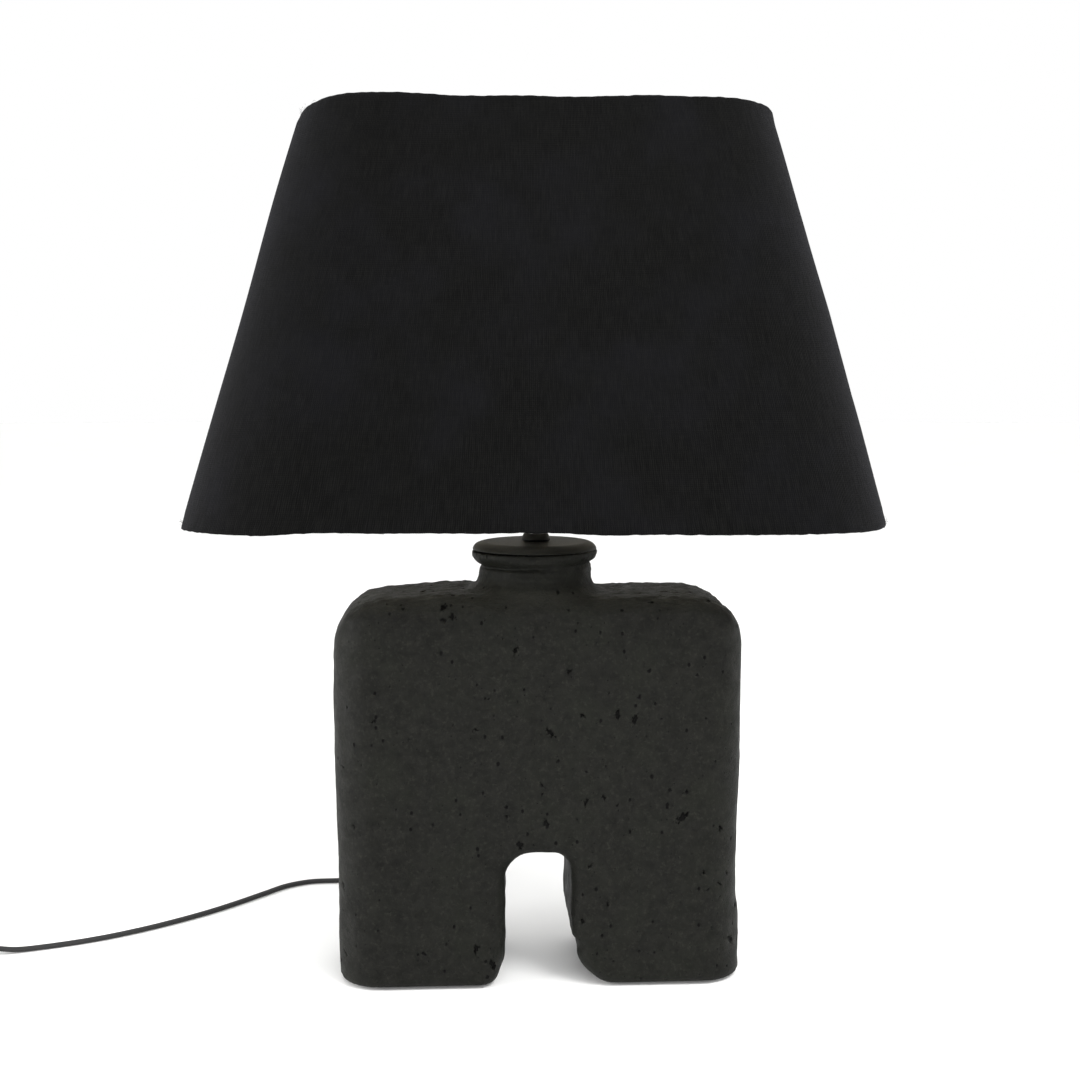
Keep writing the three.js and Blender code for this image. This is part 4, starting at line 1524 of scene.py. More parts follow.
@dataclass
class Bulb(Assembly):
    """A frosted 60 mm globe on its screw cap."""

    body: str = "bulb"
    globe: float = 30
    centre: float = 408
    top: float = 439.5
    cap_top: float = 362
    cap_bottom: float = 340
    cap_radius: float = 13.1
    pitch: float = 3.63
    wall: float = 0.9

    def threads(self, points: np.ndarray) -> np.ndarray:
        """Rolls the round screw thread into the cap.

        Args:
            points: the cap's points.

        Returns:
            The points with a thread.
        """
        made = points.copy()
        turn = np.arctan2(made[:, 1], made[:, 0]) / (2 * math.pi)
        inside = ramp(made[:, 2], self.cap_bottom, self.cap_bottom + 2)
        inside = inside * ramp(made[:, 2], self.cap_top - 2, self.cap_top - 5)
        wave = 0.5 - 0.5 * np.cos(2 * math.pi * (made[:, 2] / self.pitch - turn))
        across = np.hypot(made[:, 0], made[:, 1])
        made[:, :2] *= (1 - 0.8 * inside * wave / np.maximum(across, 1))[:, None]
        return made

    def glass_outline(self) -> list[tuple[float, float]]:
        """Gives the globe's outside, from its neck to its top."""
        start, end = Vector((self.cap_radius + 0.1, self.cap_top + 0.3)), Vector((self.globe, self.centre))
        pull_a, pull_b = start + Vector((0, 20)), end - Vector((0, 24))
        made = []
        for t in np.linspace(0, 1, 26):
            spot = start * (1 - t) ** 3 + pull_a * 3 * t * (1 - t) ** 2 + pull_b * 3 * t * t * (1 - t) + end * t**3
            made.append((spot.x, spot.y))
        for angle in np.linspace(0, math.pi / 2, 22)[1:-1]:
            made.append((self.globe * math.cos(angle), self.centre + (self.top - self.centre) * math.sin(angle)))
        return [*made, (0.0, self.top)]

    def build(self) -> None:
        """Blows the globe, rolls the cap and dresses what is inside."""
        outside = self.glass_outline()
        rise = self.top - self.centre
        inside = []
        for r, z in outside[2:]:
            lowered = z if z < self.centre else self.centre + (z - self.centre) * (rise - self.wall) / rise
            inside.append((max(0, r * (self.globe - self.wall) / self.globe), lowered))
        neck, low = self.cap_radius - 0.9, self.cap_top - 8
        rim = [(neck - self.wall, self.cap_top + 2), (neck - self.wall, low), (neck, low), (neck, self.cap_top + 0.3)]
        outline = [*reversed(inside), *rim, *outside]
        self.fit(turned("opal_globe", outline), OPAL, "bulb_glass")
        shell = [
            (self.cap_radius - 0.6, self.cap_bottom),
            (self.cap_radius, self.cap_bottom),
            (self.cap_radius, self.cap_top),
            (self.cap_radius - 0.6, self.cap_top),
        ]
        self.fit(turned("screw_cap", dense(shell, 0.4), bend=self.threads), NICKEL, "bulb_cap")
        self.keep(PLASTIC, "bulb_insulator")
        self.keep(ZINC, "bulb_contact")
        self.keep(CLEAR, "bulb_stem")
        self.keep(TUNGSTEN, "bulb_filament")


@dataclass
class ShadeRing(Assembly):
    """The knurled ring that holds the shade down on the holder."""

    body: str = "shade_ring"
    inner: float = 19.7
    outer: float = 26
    bottom: float = 338.6
    height: float = 9.5
    ribs: int = 36

    def knurl(self, points: np.ndarray) -> np.ndarray:
        """Cuts grip ribs into the rim.

        Args:
            points: the ring's points.

        Returns:
            The ribbed points.
        """
        made = points.copy()
        across = np.hypot(made[:, 0], made[:, 1])
        angle = np.arctan2(made[:, 1], made[:, 0])
        dip = 0.7 * (0.5 - 0.5 * np.cos(self.ribs * angle)) ** 2 * ramp(across, self.outer - 0.9, self.outer - 0.2)
        made[:, :2] *= (1 - dip / across)[:, None]
        return made

    def build(self) -> None:
        """Turns the ring and knurls it."""
        low = self.bottom
        outline = eased(
            [
                (self.inner, low),
                (self.outer, low),
                (self.outer, low + 3),
                (23.5, low + 3.6),
                (23.5, low + self.height),
                (self.inner, low + self.height),
            ],
            0.5,
        )
        self.fit(turned("knurled_ring", dense(outline, 0.8), 360, self.knurl), PLASTIC, "shade_ring")


@dataclass
class Shade(Assembly):
    """The tapered linen shade with its lining, hoops, fitter and arms."""

    body: str = "shade"
    bottom: float = 298
    top: float = 556
    half_width: float = 226
    half_depth: float = 88
    corner: float = 80
    taper: float = 0.65
    fabric: float = 1.2
    liner: float = 0.8
    wire: float = 1.6
    around: int = 420
    middle: float = 427
    top_hem: Table = ((-147, -140, -128, -115, -64, 0, 69, 95, 140), (-2.6, -1.2, 0.8, 1.8, 1.2, 0.6, 1.8, 1.2, 0.4))
    right_bow: Table = ((298, 380, 432, 484, 541, 556), (0.5, 0.7, 2.8, 2.8, 1.8, 1.5))
    low_hem: Table = ((-215, -206, -147, -10, 88, 176, 200), (-1.8, -1.8, 0.6, 0, -1.8, -1.2, -1.8))

    def outline(self, height: float, inset: float) -> np.ndarray:
        """Gives the shade's outline at a height.

        Args:
            height: the height above the table.
            inset: how far inside the fabric's outside it runs.

        Returns:
            Evenly spaced points, anticlockwise from the right.
        """
        scale = 1 - (1 - self.taper) * (height - self.bottom) / (self.top - self.bottom)
        sizes = (side * scale - inset for side in (self.half_width, self.half_depth, self.corner))
        return even_oblong(*sizes, 24, self.around)

    def sheet(self, name: str, stations: Sequence[tuple[float, float]], wave: float) -> bpy.types.Object:
        """Lofts a closed sheet through stations round its section.

        Args:
            name: the sheet's name.
            stations: (height, inset) pairs that run round the sheet's thickness.
            wave: how far its face swells and its edges wander, in millimetres.

        Returns:
            The sheet, laid out in metres of cloth.
        """
        rows = []
        for height, inset in stations:
            loop = self.outline(min(max(height, self.bottom), self.top), inset)
            rows.append(np.column_stack([loop, np.full(len(loop), height)]))
        points = np.concatenate(rows)
        at_low, at_top = ramp(points[:, 2], self.bottom + 10, self.bottom), ramp(points[:, 2], self.top - 10, self.top)
        near_edge = np.maximum(at_low, at_top)
        out = points * np.array([1, SQUASH, 0])
        out /= np.linalg.norm(out, axis=1)[:, None]
        frayed = near_edge * (0.35 * ripple(points, 22, 22) + 0.2 * ripple(points, 5, 23))
        puff = wave * (0.5 * ripple(points, 110, 21) + frayed)
        points += out * puff[:, None]
        points[:, 0] += np.interp(points[:, 2], *self.right_bow) * ramp(points[:, 0], 50, 120)
        flat = points * np.array([1, 1, 0])
        hems = (np.interp(points[:, 0], *hem) for hem in (self.top_hem, self.low_hem))
        lift = np.where(points[:, 2] > self.middle, *hems)
        points[:, 2] += near_edge * (lift + wave * (0.5 * ripple(flat, 60, 24) + 0.16 * ripple(flat, 6, 25)))
        faces = joined_rows(len(stations), self.around)
        last = (len(stations) - 1) * self.around
        faces += [(last + i, last + (i + 1) % self.around, (i + 1) % self.around, i) for i in range(self.around)]
        made = piece_of(name, points, faces, SOFT_CREASE)
        self.lay_out(made)
        return made

    def lay_out(self, piece: bpy.types.Object) -> None:
        """Lays the sheet out flat, in metres along its hem and up its face.

        Args:
            piece: the sheet.
        """
        mesh = piece.data
        layer = mesh.uv_layers.new(name="cloth")
        middle = self.outline((self.bottom + self.top) / 2, 0)
        total = (length_of(middle) + math.dist(middle[-1], middle[0])) * MM
        spots = np.zeros(len(mesh.vertices) * 3, np.float32)
        mesh.vertices.foreach_get("co", spots)
        spots = spots.reshape(-1, 3)
        table = [self.outline(h, 0) * MM for h in (self.bottom, self.top)]
        angles = [np.unwrap(np.arctan2(t[:, 1], t[:, 0])) for t in table]
        share = np.clip((spots[:, 2] / MM - self.bottom) / (self.top - self.bottom), 0, 1)
        angle = np.mod(np.arctan2(spots[:, 1], spots[:, 0]), 2 * math.pi)
        run = np.linspace(0, 1, self.around, endpoint=False)
        low, high = (np.interp(angle, a, run) for a in angles)
        along = (low * (1 - share) + high * share) * total
        loops = np.zeros(len(mesh.loops), np.int32)
        mesh.loops.foreach_get("vertex_index", loops)
        u, v = along[loops], spots[loops, 2] * SLANT
        starts = np.zeros(len(mesh.polygons), np.int32)
        mesh.polygons.foreach_get("loop_start", starts)
        for start, polygon in zip(starts, mesh.polygons):
            part = slice(start, start + polygon.loop_total)
            if np.ptp(u[part]) > total / 2:
                u[part] = np.where(u[part] < total / 2, u[part] + total, u[part])
        layer.data.foreach_set("uv", np.stack([u, v], -1).astype(np.float32).ravel())

    def cloth_stations(self) -> list[tuple[float, float]]:
        """Gives the linen's section: its face, and hems rolled over the edges."""
        face = [(h, 0.0) for h in np.linspace(self.bottom + 9, self.top - 9, 44)]
        low, top = self.bottom, self.top
        low_hem = [(low + 6.5, -0.05), (low + 4.5, -0.2), (low + 2.2, -0.3), (low + 0.6, -0.15), (low, 0.35)]
        top_hem = [(top - 6.5, 0.0), (top - 4.5, -0.1), (top - 2.2, -0.1), (top - 0.6, 0.05), (top, 0.4)]
        back = [(height, self.fabric) for height in (top - 0.3, top - 4, low + 4, low + 0.3)]
        return [*reversed(low_hem), *face, *top_hem, *back]

    def hoop(self, name: str, height: float, inset: float, node: str) -> None:
        """Bends a wire hoop round the inside.

        Args:
            name: the hoop's name.
            height: the height of its middle.
            inset: how far in its middle runs.
            node: the frame's node that it stands for.
        """
        loop = self.outline(height, inset)[::2]
        line = np.column_stack([loop, np.full(len(loop), height)])
        self.fit(swept(name, line, circle(self.wire, 14), around=True), POWDER, node)

    def fuzz(self) -> bpy.types.Object:
        """Grows the short loose fibres along both hems."""
        lot = np.random.default_rng(31)
        points, faces = [], []
        for height, up in ((self.bottom, -1), (self.top, 1)):
            loop = self.outline(height, -0.2)
            for _ in range(700):
                k = lot.integers(self.around)
                ahead = loop[(k + 1) % self.around] - loop[k]
                spot = np.append(loop[k] + ahead * lot.random(), height - up * lot.uniform(-0.1, 3.5))
                out = np.array([spot[0], spot[1] * SQUASH, 0])
                out /= np.linalg.norm(out)
                aim = out * lot.uniform(0.1, 0.7) + np.array([*lot.normal(0, 0.7, 2), up * lot.uniform(0, 0.8)])
                aim /= np.linalg.norm(aim)
                bow = lot.normal(0, 0.3, 3)
                long = lot.uniform(0.5, 1.7)
                side = np.cross(aim, (0.3, 0.2, 1))
                side *= 0.06 / np.linalg.norm(side)
                lift = np.cross(aim, side)
                first = len(points)
                for t in (0, 0.5, 1):
                    middle = spot + aim * long * t + bow * t * t
                    width = 1 - 0.7 * t
                    behind = middle - 0.5 * side * width
                    points += [middle + side * width, behind + lift * width, behind - lift * width]
                faces += joined_rows(3, 3, first=first)
                faces += [(first, first + 1, first + 2), (first + 6, first + 7, first + 8)]
        return piece_of("hem_fibres", np.array(points), faces, 180)

    def build(self) -> None:
        """Makes the linen, its lining and the wire frame."""
        linen = self.sheet("linen_cover", self.cloth_stations(), 0.9)
        self.fit(linen, LINEN, "shade_fabric")
        low, high = self.outline(self.bottom, 0), self.outline(self.top, 0)
        hem, slant = length_of(low) * MM, (self.top - self.bottom) * SLANT * MM
        area = hem * slant * (1 + length_of(high) / length_of(low)) / 2
        outer = self.fabric + 0.15
        inner = outer + self.liner
        start, end = self.bottom + 0.8, self.top - 0.8
        lining = [(start, outer), (end, outer), (end, inner), (start, inner)]
        dense_lining = [
            (a[0] + (b[0] - a[0]) * t, a[1] + (b[1] - a[1]) * t)
            for a, b in zip(lining, [*lining[1:], lining[0]])
            for t in np.linspace(0, 1, 24 if abs(a[0] - b[0]) > 5 else 1, endpoint=False)
        ]
        self.fit(self.sheet("shade_lining_piece", dense_lining, 0.35), LINING, "shade_liner")
        fibres = self.fuzz()
        self.fit(fibres, LINEN)
        (_, _, low_z), (_, _, low_top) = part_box("bottom_wire")
        (_, _, high_z), (_, _, high_top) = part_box("top_wire")
        inset = inner + self.wire + 0.4
        self.hoop("lower_hoop", (low_z + low_top) / 2 / MM, inset, "bottom_wire")
        self.hoop("upper_hoop", (high_z + high_top) / 2 / MM, inset, "top_wire")
        self.fitter((low_z + low_top) / 2 / MM, inset)

    def fitter(self, height: float, inset: float) -> None:
        """Makes the ring that sits on the holder and the four arms that carry the lower hoop.

        Args:
            height: the lower hoop's height.
            inset: how far in the lower hoop runs.
        """
        (_, _, ring_low), (ring_out, _, ring_high) = (tuple(v / MM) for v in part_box("fitter_ring"))
        ring = eased([(20.2, ring_low), (ring_out, ring_low), (ring_out, ring_high), (20.2, ring_high)], 0.6)
        self.fit(turned("fitter_plate", ring), POWDER, "fitter_ring")
        scale = 1 - (1 - self.taper) * (height - self.bottom) / (self.top - self.bottom)
        reach_x, reach_y = self.half_width * scale - inset, self.half_depth * scale - inset
        level = (ring_low + ring_high) / 2
        sides = [("left", (-1, 0), reach_x), ("right", (1, 0), reach_x)]
        faces = [("front", (0, -1), reach_y), ("back", (0, 1), reach_y)]
        for name, (dx, dy), reach in [*sides, *faces]:
            runs = [(ring_out - 3, level + 0.8), (ring_out + 3, level + 0.4), (ring_out + 8, level - 1)]
            runs += [(reach - 6, height + 2.6), (reach, height + 0.8)]
            line = smooth_line([(dx * r, dy * r, z) for r, z in runs], 1.5)
            self.fit(swept(f"arm_{name}", line, circle(1.5, 14)), POWDER, f"fitter_arm_{name}")


@dataclass
class Lead(Assembly):
    """The flat two-core lead: its gland, switch, wound length, tie and plug."""

    width: float = 5
    thick: float = 2.8
    length: float = 1800
    exit: Point = (-78, 69.3, 16)
    switch_at: tuple[float, float] = (-414, 27.5)
    coil_at: tuple[float, float] = (-495, -11)
    coil_outer: float = 38
    turns: float = 6.25
    layers: tuple[float, float] = (2.5, 5.4)
    plug_at: Point = (-500, -72, 7)
    run: list[Point] = field(
        default_factory=lambda: [
            (-78, 60, 16),
            (-78, 69.3, 16),
            (-78, 79, 15),
            (-78, 91, 10.6),
            (-78, 103, 5.4),
            (-78, 114, 2.4),
            (-78, 125, 1.8),
            (-82, 140, 1.8),
            (-93, 152, 1.8),
            (-108, 160, 1.8),
            (-128, 163, 1.8),
            (-149, 162.5, 1.8),
            (-168, 161, 1.8),
            (-184.5, 152.5, 1.8),
            (-200.4, 135.3, 1.8),
            (-216.3, 117.6, 1.8),
            (-232, 101.5, 1.8),
            (-250, 85.8, 1.8),
            (-275, 67, 1.8),
            (-304, 50, 1.8),
            (-334, 38, 1.8),
            (-354, 31.5, 2.4),
            (-368, 28.1, 5),
            (-378.7, 27.5, 6.6),
            (-384.7, 27.5, 6.6),
            (-393, 27.5, 6.2),
            (-402, 27.5, 5.4),
            (-414, 27.5, 5.3),
            (-426, 27.5, 5.4),
            (-435, 27.5, 6.2),
            (-443.3, 27.5, 6.6),
            (-449.3, 27.5, 6.6),
            (-461, 27.2, 4),
            (-473.9, 27, 2.5),
        ]
    )
    tail: list[Point] = field(
        default_factory=lambda: [
            (-533, -32.1, 4.2),
            (-533, -47, 2.2),
            (-526, -65, 2.4),
            (-513, -72, 5),
            (-506.3, -72, 7),
            (-500.3, -72, 7),
            (-494, -72, 7),
        ]
    )

    def wound(self, inner: float) -> list[Point]:
        """Winds the coil: in along the table, then out again on top.

        Args:
            inner: the radius of its innermost turn.

        Returns:
            Its points, about forty a turn.
        """
        made = []
        for t in np.linspace(0, 1, int(self.turns * 40) + 1)[1:]:
            angle = math.pi / 2 + 2 * math.pi * self.turns * t
            radius = self.coil_outer + (inner - self.coil_outer) * (1 - abs(1 - 2 * t))
            rise = float(ramp(np.array(t), 0.46, 0.54))
            height = self.layers[0] + (self.layers[1] - self.layers[0]) * rise
            x, y = self.coil_at
            made.append((x + radius * math.cos(angle), y + radius * math.sin(angle), height))
        return made

    def route(self) -> np.ndarray:
        """Runs the lead from the gland to the plug, with its length taken up in the coil.

        Returns:
            Its centre line, in millimetres.
        """
        start = (self.coil_at[0], self.coil_at[1] + self.coil_outer, self.layers[0])
        low, high = 18.0, 30.0
        line = np.zeros((2, 3))
        for _ in range(16):
            inner = (low + high) / 2
            line = smooth_line([*self.run, start, *self.wound(inner), *self.tail], 1.6)
            if length_of(line) > self.length:
                high = inner
            else:
                low = inner
        return line

    def build(self) -> None:
        """Makes the flex and everything on it."""
        line = self.route()
        half, core = self.thick / 2, (self.width - self.thick) / 2
        right = [(core + half * math.cos(a), half * math.sin(a)) for a in np.linspace(-2.28, 2.28, 10)]
        section = np.array(right + [(-x, -y) for x, y in right])
        flex = swept("flat_flex", line, section)
        self.fit(flex, SHEATH, "cord_lead", "cord_middle", "cord_tail", "cord_coil")
        riders = [*self.switch(), *self.plug(), self.tie()]
        gland = self.gland()
        LOG.info("lead: %.0f mm long", length_of(line))

    def gland(self) -> bpy.types.Object:
        """Turns the ribbed, tapered strain relief that holds the lead in the base.

        Returns:
            The gland.
        """
        x, tip, z = self.exit
        tip -= 0.3
        back, bore = 46.0, 3.1
        outline = [(bore, back - 9), (4, back - 9), (4, back + 0.3), (7, back + 0.3)]
        outline += [(7.5, back + 0.9), (7.4, back + 1.9), (6.8, back + 2.5), (5.5, back + 3)]
        for k in range(5):
            start = back + 4.2 + k * 3.5
            wide = 5.4 - 0.3 * k
            outline += [(wide, start), (wide - 0.05, start + 1.9)]
            outline += [(wide - 0.75, start + 2.2), (wide - 0.8, start + 3.1)]
        outline += [(3.95, tip - 0.8), (3.7, tip), (bore, tip)]

        def lay_back(points: np.ndarray) -> np.ndarray:
            """Turns the gland's axis to point backwards, at its place."""
            return np.stack([points[:, 0] + x, points[:, 2], z - points[:, 1]], -1)

        made = turned("lead_gland", eased(outline, 0.25, 2), 64, lay_back)
        return self.fit(made, PLASTIC, "cord_gland")

    def tie(self) -> bpy.types.Object:
        """Straps the coil's turns together with a short woven tie.

        Returns:
            The tie.
        """
        low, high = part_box("coil_tie")
        centre_z = (low.z + high.z) / 2 / MM
        angle = math.radians(20)
        run = oblong((high - low).x / 2 / MM / math.cos(angle) * 0.94, (high.z - low.z) / 2 / MM - 0.45, 1.8, 5)
        out = np.array([math.cos(angle), math.sin(angle), 0])
        middle = float(((low + high) / 2 / MM - Vector((*self.coil_at, 0))).to_2d().length)
        base = np.array([*self.coil_at, 0]) + out * middle
        line = np.array([base + out * a + np.array([0, 0, centre_z + b]) for a, b in run])
        across = (-math.sin(angle), math.cos(angle), 0)
        section = oblong(0.4, 2.9, 0.3, 3)
        made = swept("coil_strap", even_loop(line, 120), section, up=across, around=True)
        return self.fit(made, WOVEN_TIE, "coil_tie")

    def shell(self, name: str, stations: Sequence[tuple[float, float, float, float]]) -> bpy.types.Object:
        """Lofts an oblong shell upwards at the switch's place.

        Args:
            name: the shell's name.
            stations: (height, half length, half width, corner) of each level.

        Returns:
            The shell.
        """
        x, y = self.switch_at
        rows = []
        for height, half_long, half_short, corner in stations:
            loop = even_oblong(half_long, half_short, corner, 10, ROUND)
            rows.append(np.column_stack([loop + (x, y), np.full(ROUND, height)]))
        return lofted(name, rows)

    def switch(self) -> list[bpy.types.Object]:
        """Moulds the switch's two halves and its rocker.

        Returns:
            The pieces that lie on the lead.
        """
        tray = self.shell(
            "switch_tray",
            [
                (0.2, 26.5, 10.2, 7),
                (0.35, 27.6, 11.3, 8),
                (0.9, 28.5, 12.1, 8.6),
                (2, 28.9, 12.45, 9),
                (6.0, 29, 12.5, 9),
                (6.5, 28.8, 12.3, 8.8),
                (6.6, 28.4, 11.9, 8.6),
            ],
        )
        lid = self.shell(
            "switch_lid",
            [
                (6.9, 28.4, 11.9, 8.6),
                (7.0, 28.8, 12.3, 8.8),
                (7.4, 29, 12.5, 9),
                (10.4, 28.75, 12.25, 8.9),
                (11.8, 28.3, 11.8, 8.6),
                (12.8, 27.5, 11.0, 8.2),
                (13.5, 26.2, 9.9, 7.4),
                (13.85, 24, 8.4, 6),
                (14.0, 19, 6.9, 3.4),
                (13.95, 10.2, 5.7, 1.1),
                (13.75, 9.2, 5.3, 0.7),
                (13.3, 8.9, 5.1, 0.5),
                (7.2, 8.8, 5.05, 0.4),
            ],
        )
        self.fit(tray, PLASTIC, "switch_base")
        self.fit(lid, PLASTIC, "switch_cover")
        self.keep(BRASS, "switch_contact")
        self.keep(ZINC, "switch_screw")
        rocker = Rocker()
        rocker.build()
        nodes = frame["nodes"]
        return [tray, lid, rocker.piece, nodes["switch_contact"], nodes["switch_screw"]]

    def plug(self) -> list[bpy.types.Object]:
        """Moulds the plug with its ribbed boot and dresses its pins.

        Returns:
            The plug's pieces.
        """
        x, y, z = self.plug_at
        stations = [(0.0, 3.3, 2.7), (0.4, 3.7, 3.1)]
        for k in range(4):
            at = 1.4 + k * 3.2
            grow = 0.16 * k
            for on, wide, high in ((0, 4.0, 3.3), (1.5, 4.1, 3.4), (1.9, 3.5, 2.9), (2.8, 3.5, 2.9)):
                stations.append((at + on, wide + grow, high + grow))
        stations += [(14.6, 5.2, 4.2), (15.6, 7.6, 5.0), (17.6, 9.8, 5.8), (20.5, 11.6, 6.35)]
        stations += [(24, 12.8, 6.6), (28, 13.4, 6.7), (30.5, 13.5, 6.7), (31, 13.1, 6.4)]
        stations += [(31.8, 13.1, 6.4), (32.3, 13.5, 6.7), (40.8, 13.5, 6.7), (41.6, 13.2, 6.4), (42, 12.5, 5.7)]
        rows = []
        for at, half_wide, half_high in stations:
            loop = even_oblong(half_wide, half_high, min(5.5, half_high * 0.92), 10, 72)
            rows.append(np.column_stack([np.full(len(loop), x + at), loop[:, 0] + y, loop[:, 1] + z]))
        body = lofted("plug_moulding", rows)
        self.fit(body, PLASTIC, "plug_body")
        pins = []
        for side in ("left", "right"):
            low, high = (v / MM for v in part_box(f"plug_pin_{side}"))
            middle = (low + high) / 2
            run = high.x - low.x
            outline = eased([(0, 0), (2, 0), (2, run - 1.4), (1.5, run - 0.3), (0, run)], 0.5)

            def lay_along(points: np.ndarray) -> np.ndarray:
                """Turns the pin's axis along the plug, at its place."""
                return np.stack([points[:, 2] + low.x, points[:, 0] + middle.y, points[:, 1] + middle.z], -1)

            pin = turned(f"round_pin_{side}", [(0.0, 0.0), *outline[1:-1], (0.0, run)], 32, lay_along)
            pins.append(self.fit(pin, NICKEL, f"plug_pin_{side}"))
        return [body, *pins]


@dataclass
class Rocker(Assembly):
    """The switch's rocker: a saddle with ribs, tipping about its pivot."""

    body: str = "rocker"
    half_wide: float = 4.5
    low_end: float = 14.8
    high_end: float = 17.0
    belly: float = 8.4
    belly_ends: float = 9.6
    cut_back: float = 3.4
    piece: bpy.types.Object | None = None

    def build(self) -> None:
        """Shapes the rocker from side outlines that are eased at both faces."""
        low, high = (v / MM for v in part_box("switch_rocker"))
        middle = (low + high) / 2
        half = (high.x - low.x) / 2
        top = []
        for t in np.linspace(1, -1, 41):
            saddle = self.low_end + (self.high_end - self.low_end) * (1 - t) / 2 - 1.5 * (1 - t * t) * 0.6
            rib = 0.18 * (0.5 + 0.5 * math.cos(t * 9 * math.pi)) * (0.3 < abs(t) < 0.9)
            top.append((half * t, saddle + rib))
        flat = half - self.cut_back
        under = [(-half, self.belly_ends), (-flat, self.belly), (flat, self.belly), (half, self.belly_ends)]
        outline = np.array([*under, *top])
        heart = outline.mean(0)
        rows = []
        eases = [(1, 0.9), (0.985, 0.955), (0.93, 0.99), (0.86, 1)]
        for across, keep in [*((-a, k) for a, k in eases), *reversed(eases)]:
            ring = heart + (outline - heart) * keep
            level = np.full(len(ring), middle.y + across * self.half_wide)
            rows.append(np.column_stack([ring[:, 0] + middle.x, level, ring[:, 1]]))
        self.piece = self.fit(lofted("rocker_saddle", rows), PLASTIC, "switch_rocker")


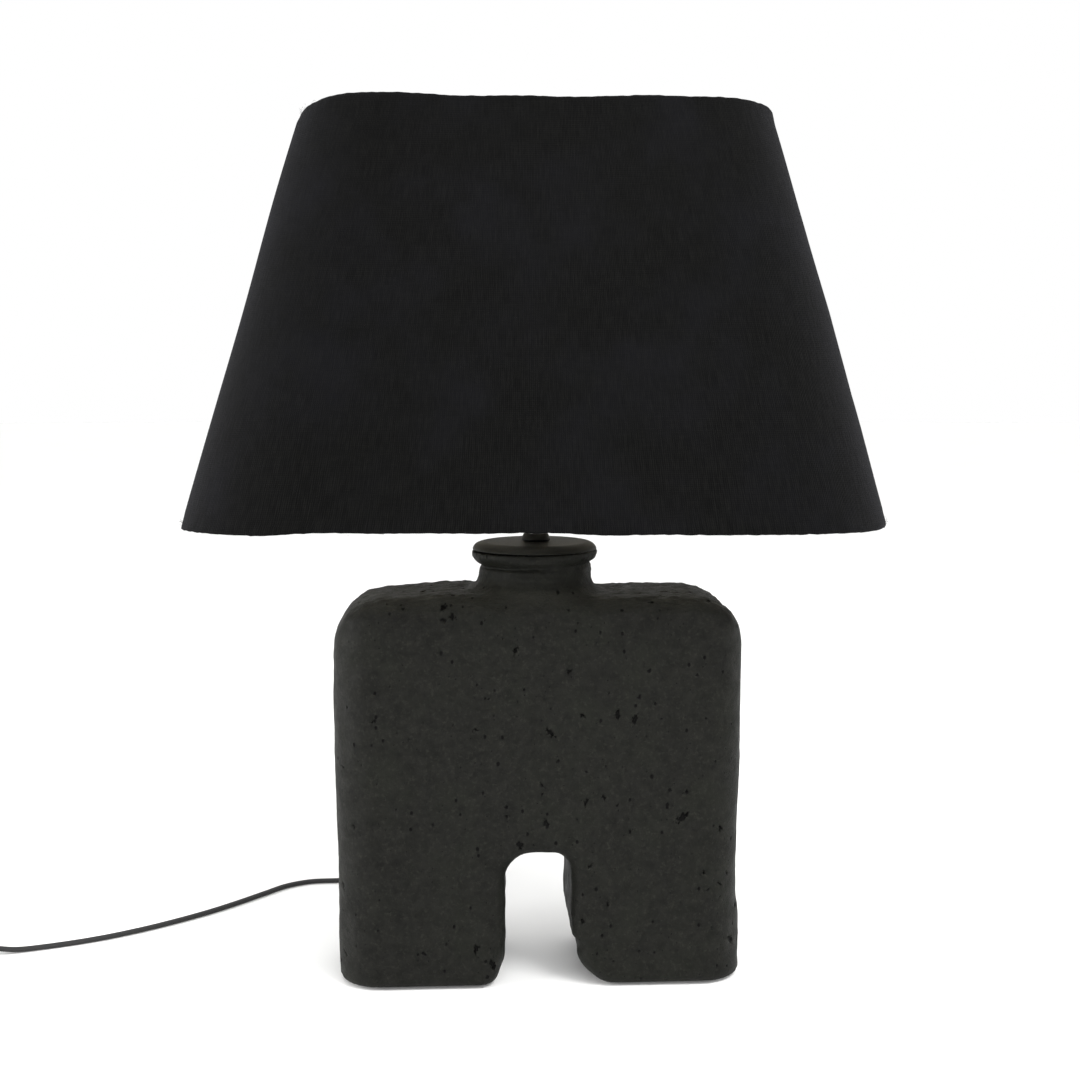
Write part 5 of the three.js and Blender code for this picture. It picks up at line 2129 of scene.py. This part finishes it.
@dataclass
class Studio:
    """The pale table, the soft lights and the camera."""

    eye: Point = (-0.0449, -0.9409, 0.384)
    down: float = 6.0
    aside: float = 2.9
    lens: float = 48.33
    front_air: float = 0.12
    back_air: float = 0.85
    high_air: float = 2.8
    reach: float = 16.0

    def camera(self) -> None:
        """Sets the camera at eye height, looking slightly down and to the right."""
        view = bpy.data.cameras.new("camera")
        view.lens, view.sensor_width, view.clip_start = self.lens, 36, 0.02
        stand = placed("camera", view)
        stand.location = self.eye
        stand.rotation_euler = (math.radians(90 - self.down), 0, math.radians(-self.aside))
        bpy.context.scene.camera = stand

    def table(self) -> None:
        """Lays a wide, round, pale table top."""
        rings = [(0.0, 0.0), (0.6, 0.0), (1.5, 0.0), (4.0, 0.0), (self.reach, 0.0)]
        points = turned_points(rings, ROUND)[ROUND - 1 :]
        mesh = bpy.data.meshes.new("table_top")
        fan = [(0, 1 + i, 1 + (i + 1) % ROUND) for i in range(ROUND)]
        mesh.from_pydata(points.tolist(), [], fan + joined_rows(len(rings) - 1, ROUND, first=1))
        top = placed("table_top", mesh)
        recipe = Recipe("pale_table")
        cloud = recipe.fit(recipe.noise(recipe.place(), 3, 4), 0.3, 0.7)
        recipe.set(Base_Color=recipe.mix(cloud, shade_of("f4f4f3"), shade_of("f7f7f6")), Roughness=0.85)
        recipe.set(Specular_IOR_Level=0.1, Emission_Color=(1, 1, 1, 1), Emission_Strength=0.09)
        mesh.materials.append(recipe.material)

    def light(self, name: str, at: Point, aim: Point, size: tuple[float, float], power: float) -> None:
        """Hangs a soft box.

        Args:
            name: its name.
            at: where it hangs.
            aim: what it points at.
            size: its width and height.
            power: its power in watts.
        """
        lamp = bpy.data.lights.new(name, "AREA")
        lamp.shape, lamp.size, lamp.size_y, lamp.energy = "RECTANGLE", *size, power
        stand = placed(name, lamp)
        stand.location = at
        stand.rotation_euler = (Vector(aim) - Vector(at)).to_track_quat("-Z", "Y").to_euler()

    def build(self) -> None:
        """Sets everything up around the lamp."""
        self.camera()
        self.table()
        self.air()
        bpy.context.scene.view_settings.view_transform = "Standard"
        heart = (0.0, 0.0, 0.28)
        self.light("key_left", (-1.9, -0.45, 0.5), heart, (1.2, 1.6), 42)
        self.light("fill_right", (1.9, 0.1, 0.8), heart, (1.0, 1.5), 3.5)
        self.light("overhead", (0.1, 0.5, 2.3), (0.0, 0.2, 0.2), (2.4, 1.8), 12)
        self.light("near_right", (0.5, -0.55, 1.02), (0.14, -0.05, 0.52), (0.4, 0.4), 7)

    def air(self) -> None:
        """Fills the room with soft light: bright behind the lamp, dim in front, a glow high at the front right."""
        world = bpy.data.worlds.new("studio_air")
        world.use_nodes = True
        tree = world.node_tree
        ground = tree.nodes["Background"]
        heading = tree.nodes.new("ShaderNodeTexCoord").outputs["Generated"]

        def glow(aim: Point, start: float, end: float, low: float, high: float) -> Socket:
            """Makes light that grows towards an aim."""
            toward = tree.nodes.new("ShaderNodeVectorMath")
            toward.operation = "DOT_PRODUCT"
            tree.links.new(heading, toward.inputs[0])
            toward.inputs[1].default_value = Vector(aim).normalized()
            fade = tree.nodes.new("ShaderNodeMapRange")
            fade.interpolation_type = "SMOOTHSTEP"
            for key, number in (("From Min", start), ("From Max", end), ("To Min", low), ("To Max", high)):
                fade.inputs[key].default_value = number
            tree.links.new(toward.outputs["Value"], fade.inputs["Value"])
            return fade.outputs["Result"]

        both = tree.nodes.new("ShaderNodeMath")
        tree.links.new(glow((0, 1, 0), -0.7, 0.8, self.front_air, self.back_air), both.inputs[0])
        tree.links.new(glow((0.2, -0.62, 0.75), 0.72, 1.0, 0.0, self.high_air), both.inputs[1])
        pick = tree.nodes.new("ShaderNodeMix")
        tree.links.new(tree.nodes.new("ShaderNodeLightPath").outputs["Is Camera Ray"], pick.inputs["Factor"])
        tree.links.new(both.outputs["Value"], pick.inputs["A"])
        pick.inputs["B"].default_value = 1.0
        tree.links.new(pick.outputs["Result"], ground.inputs["Strength"])
        ground.inputs["Color"].default_value = (1, 1, 1, 1)
        bpy.context.scene.world = world


def main() -> None:
    """Builds the lamp in order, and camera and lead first."""
    logging.basicConfig(level=logging.INFO, format="%(name)s: %(message)s")
    assemblies = [Studio(), Lead(), CeramicBase(), NeckFittings(), BulbHolder(), Bulb(), ShadeRing(), Shade()]
    for assembly in assemblies:
        assembly.build()
        LOG.info("%s done", type(assembly).__name__)


if __name__ == "__main__":
    main()
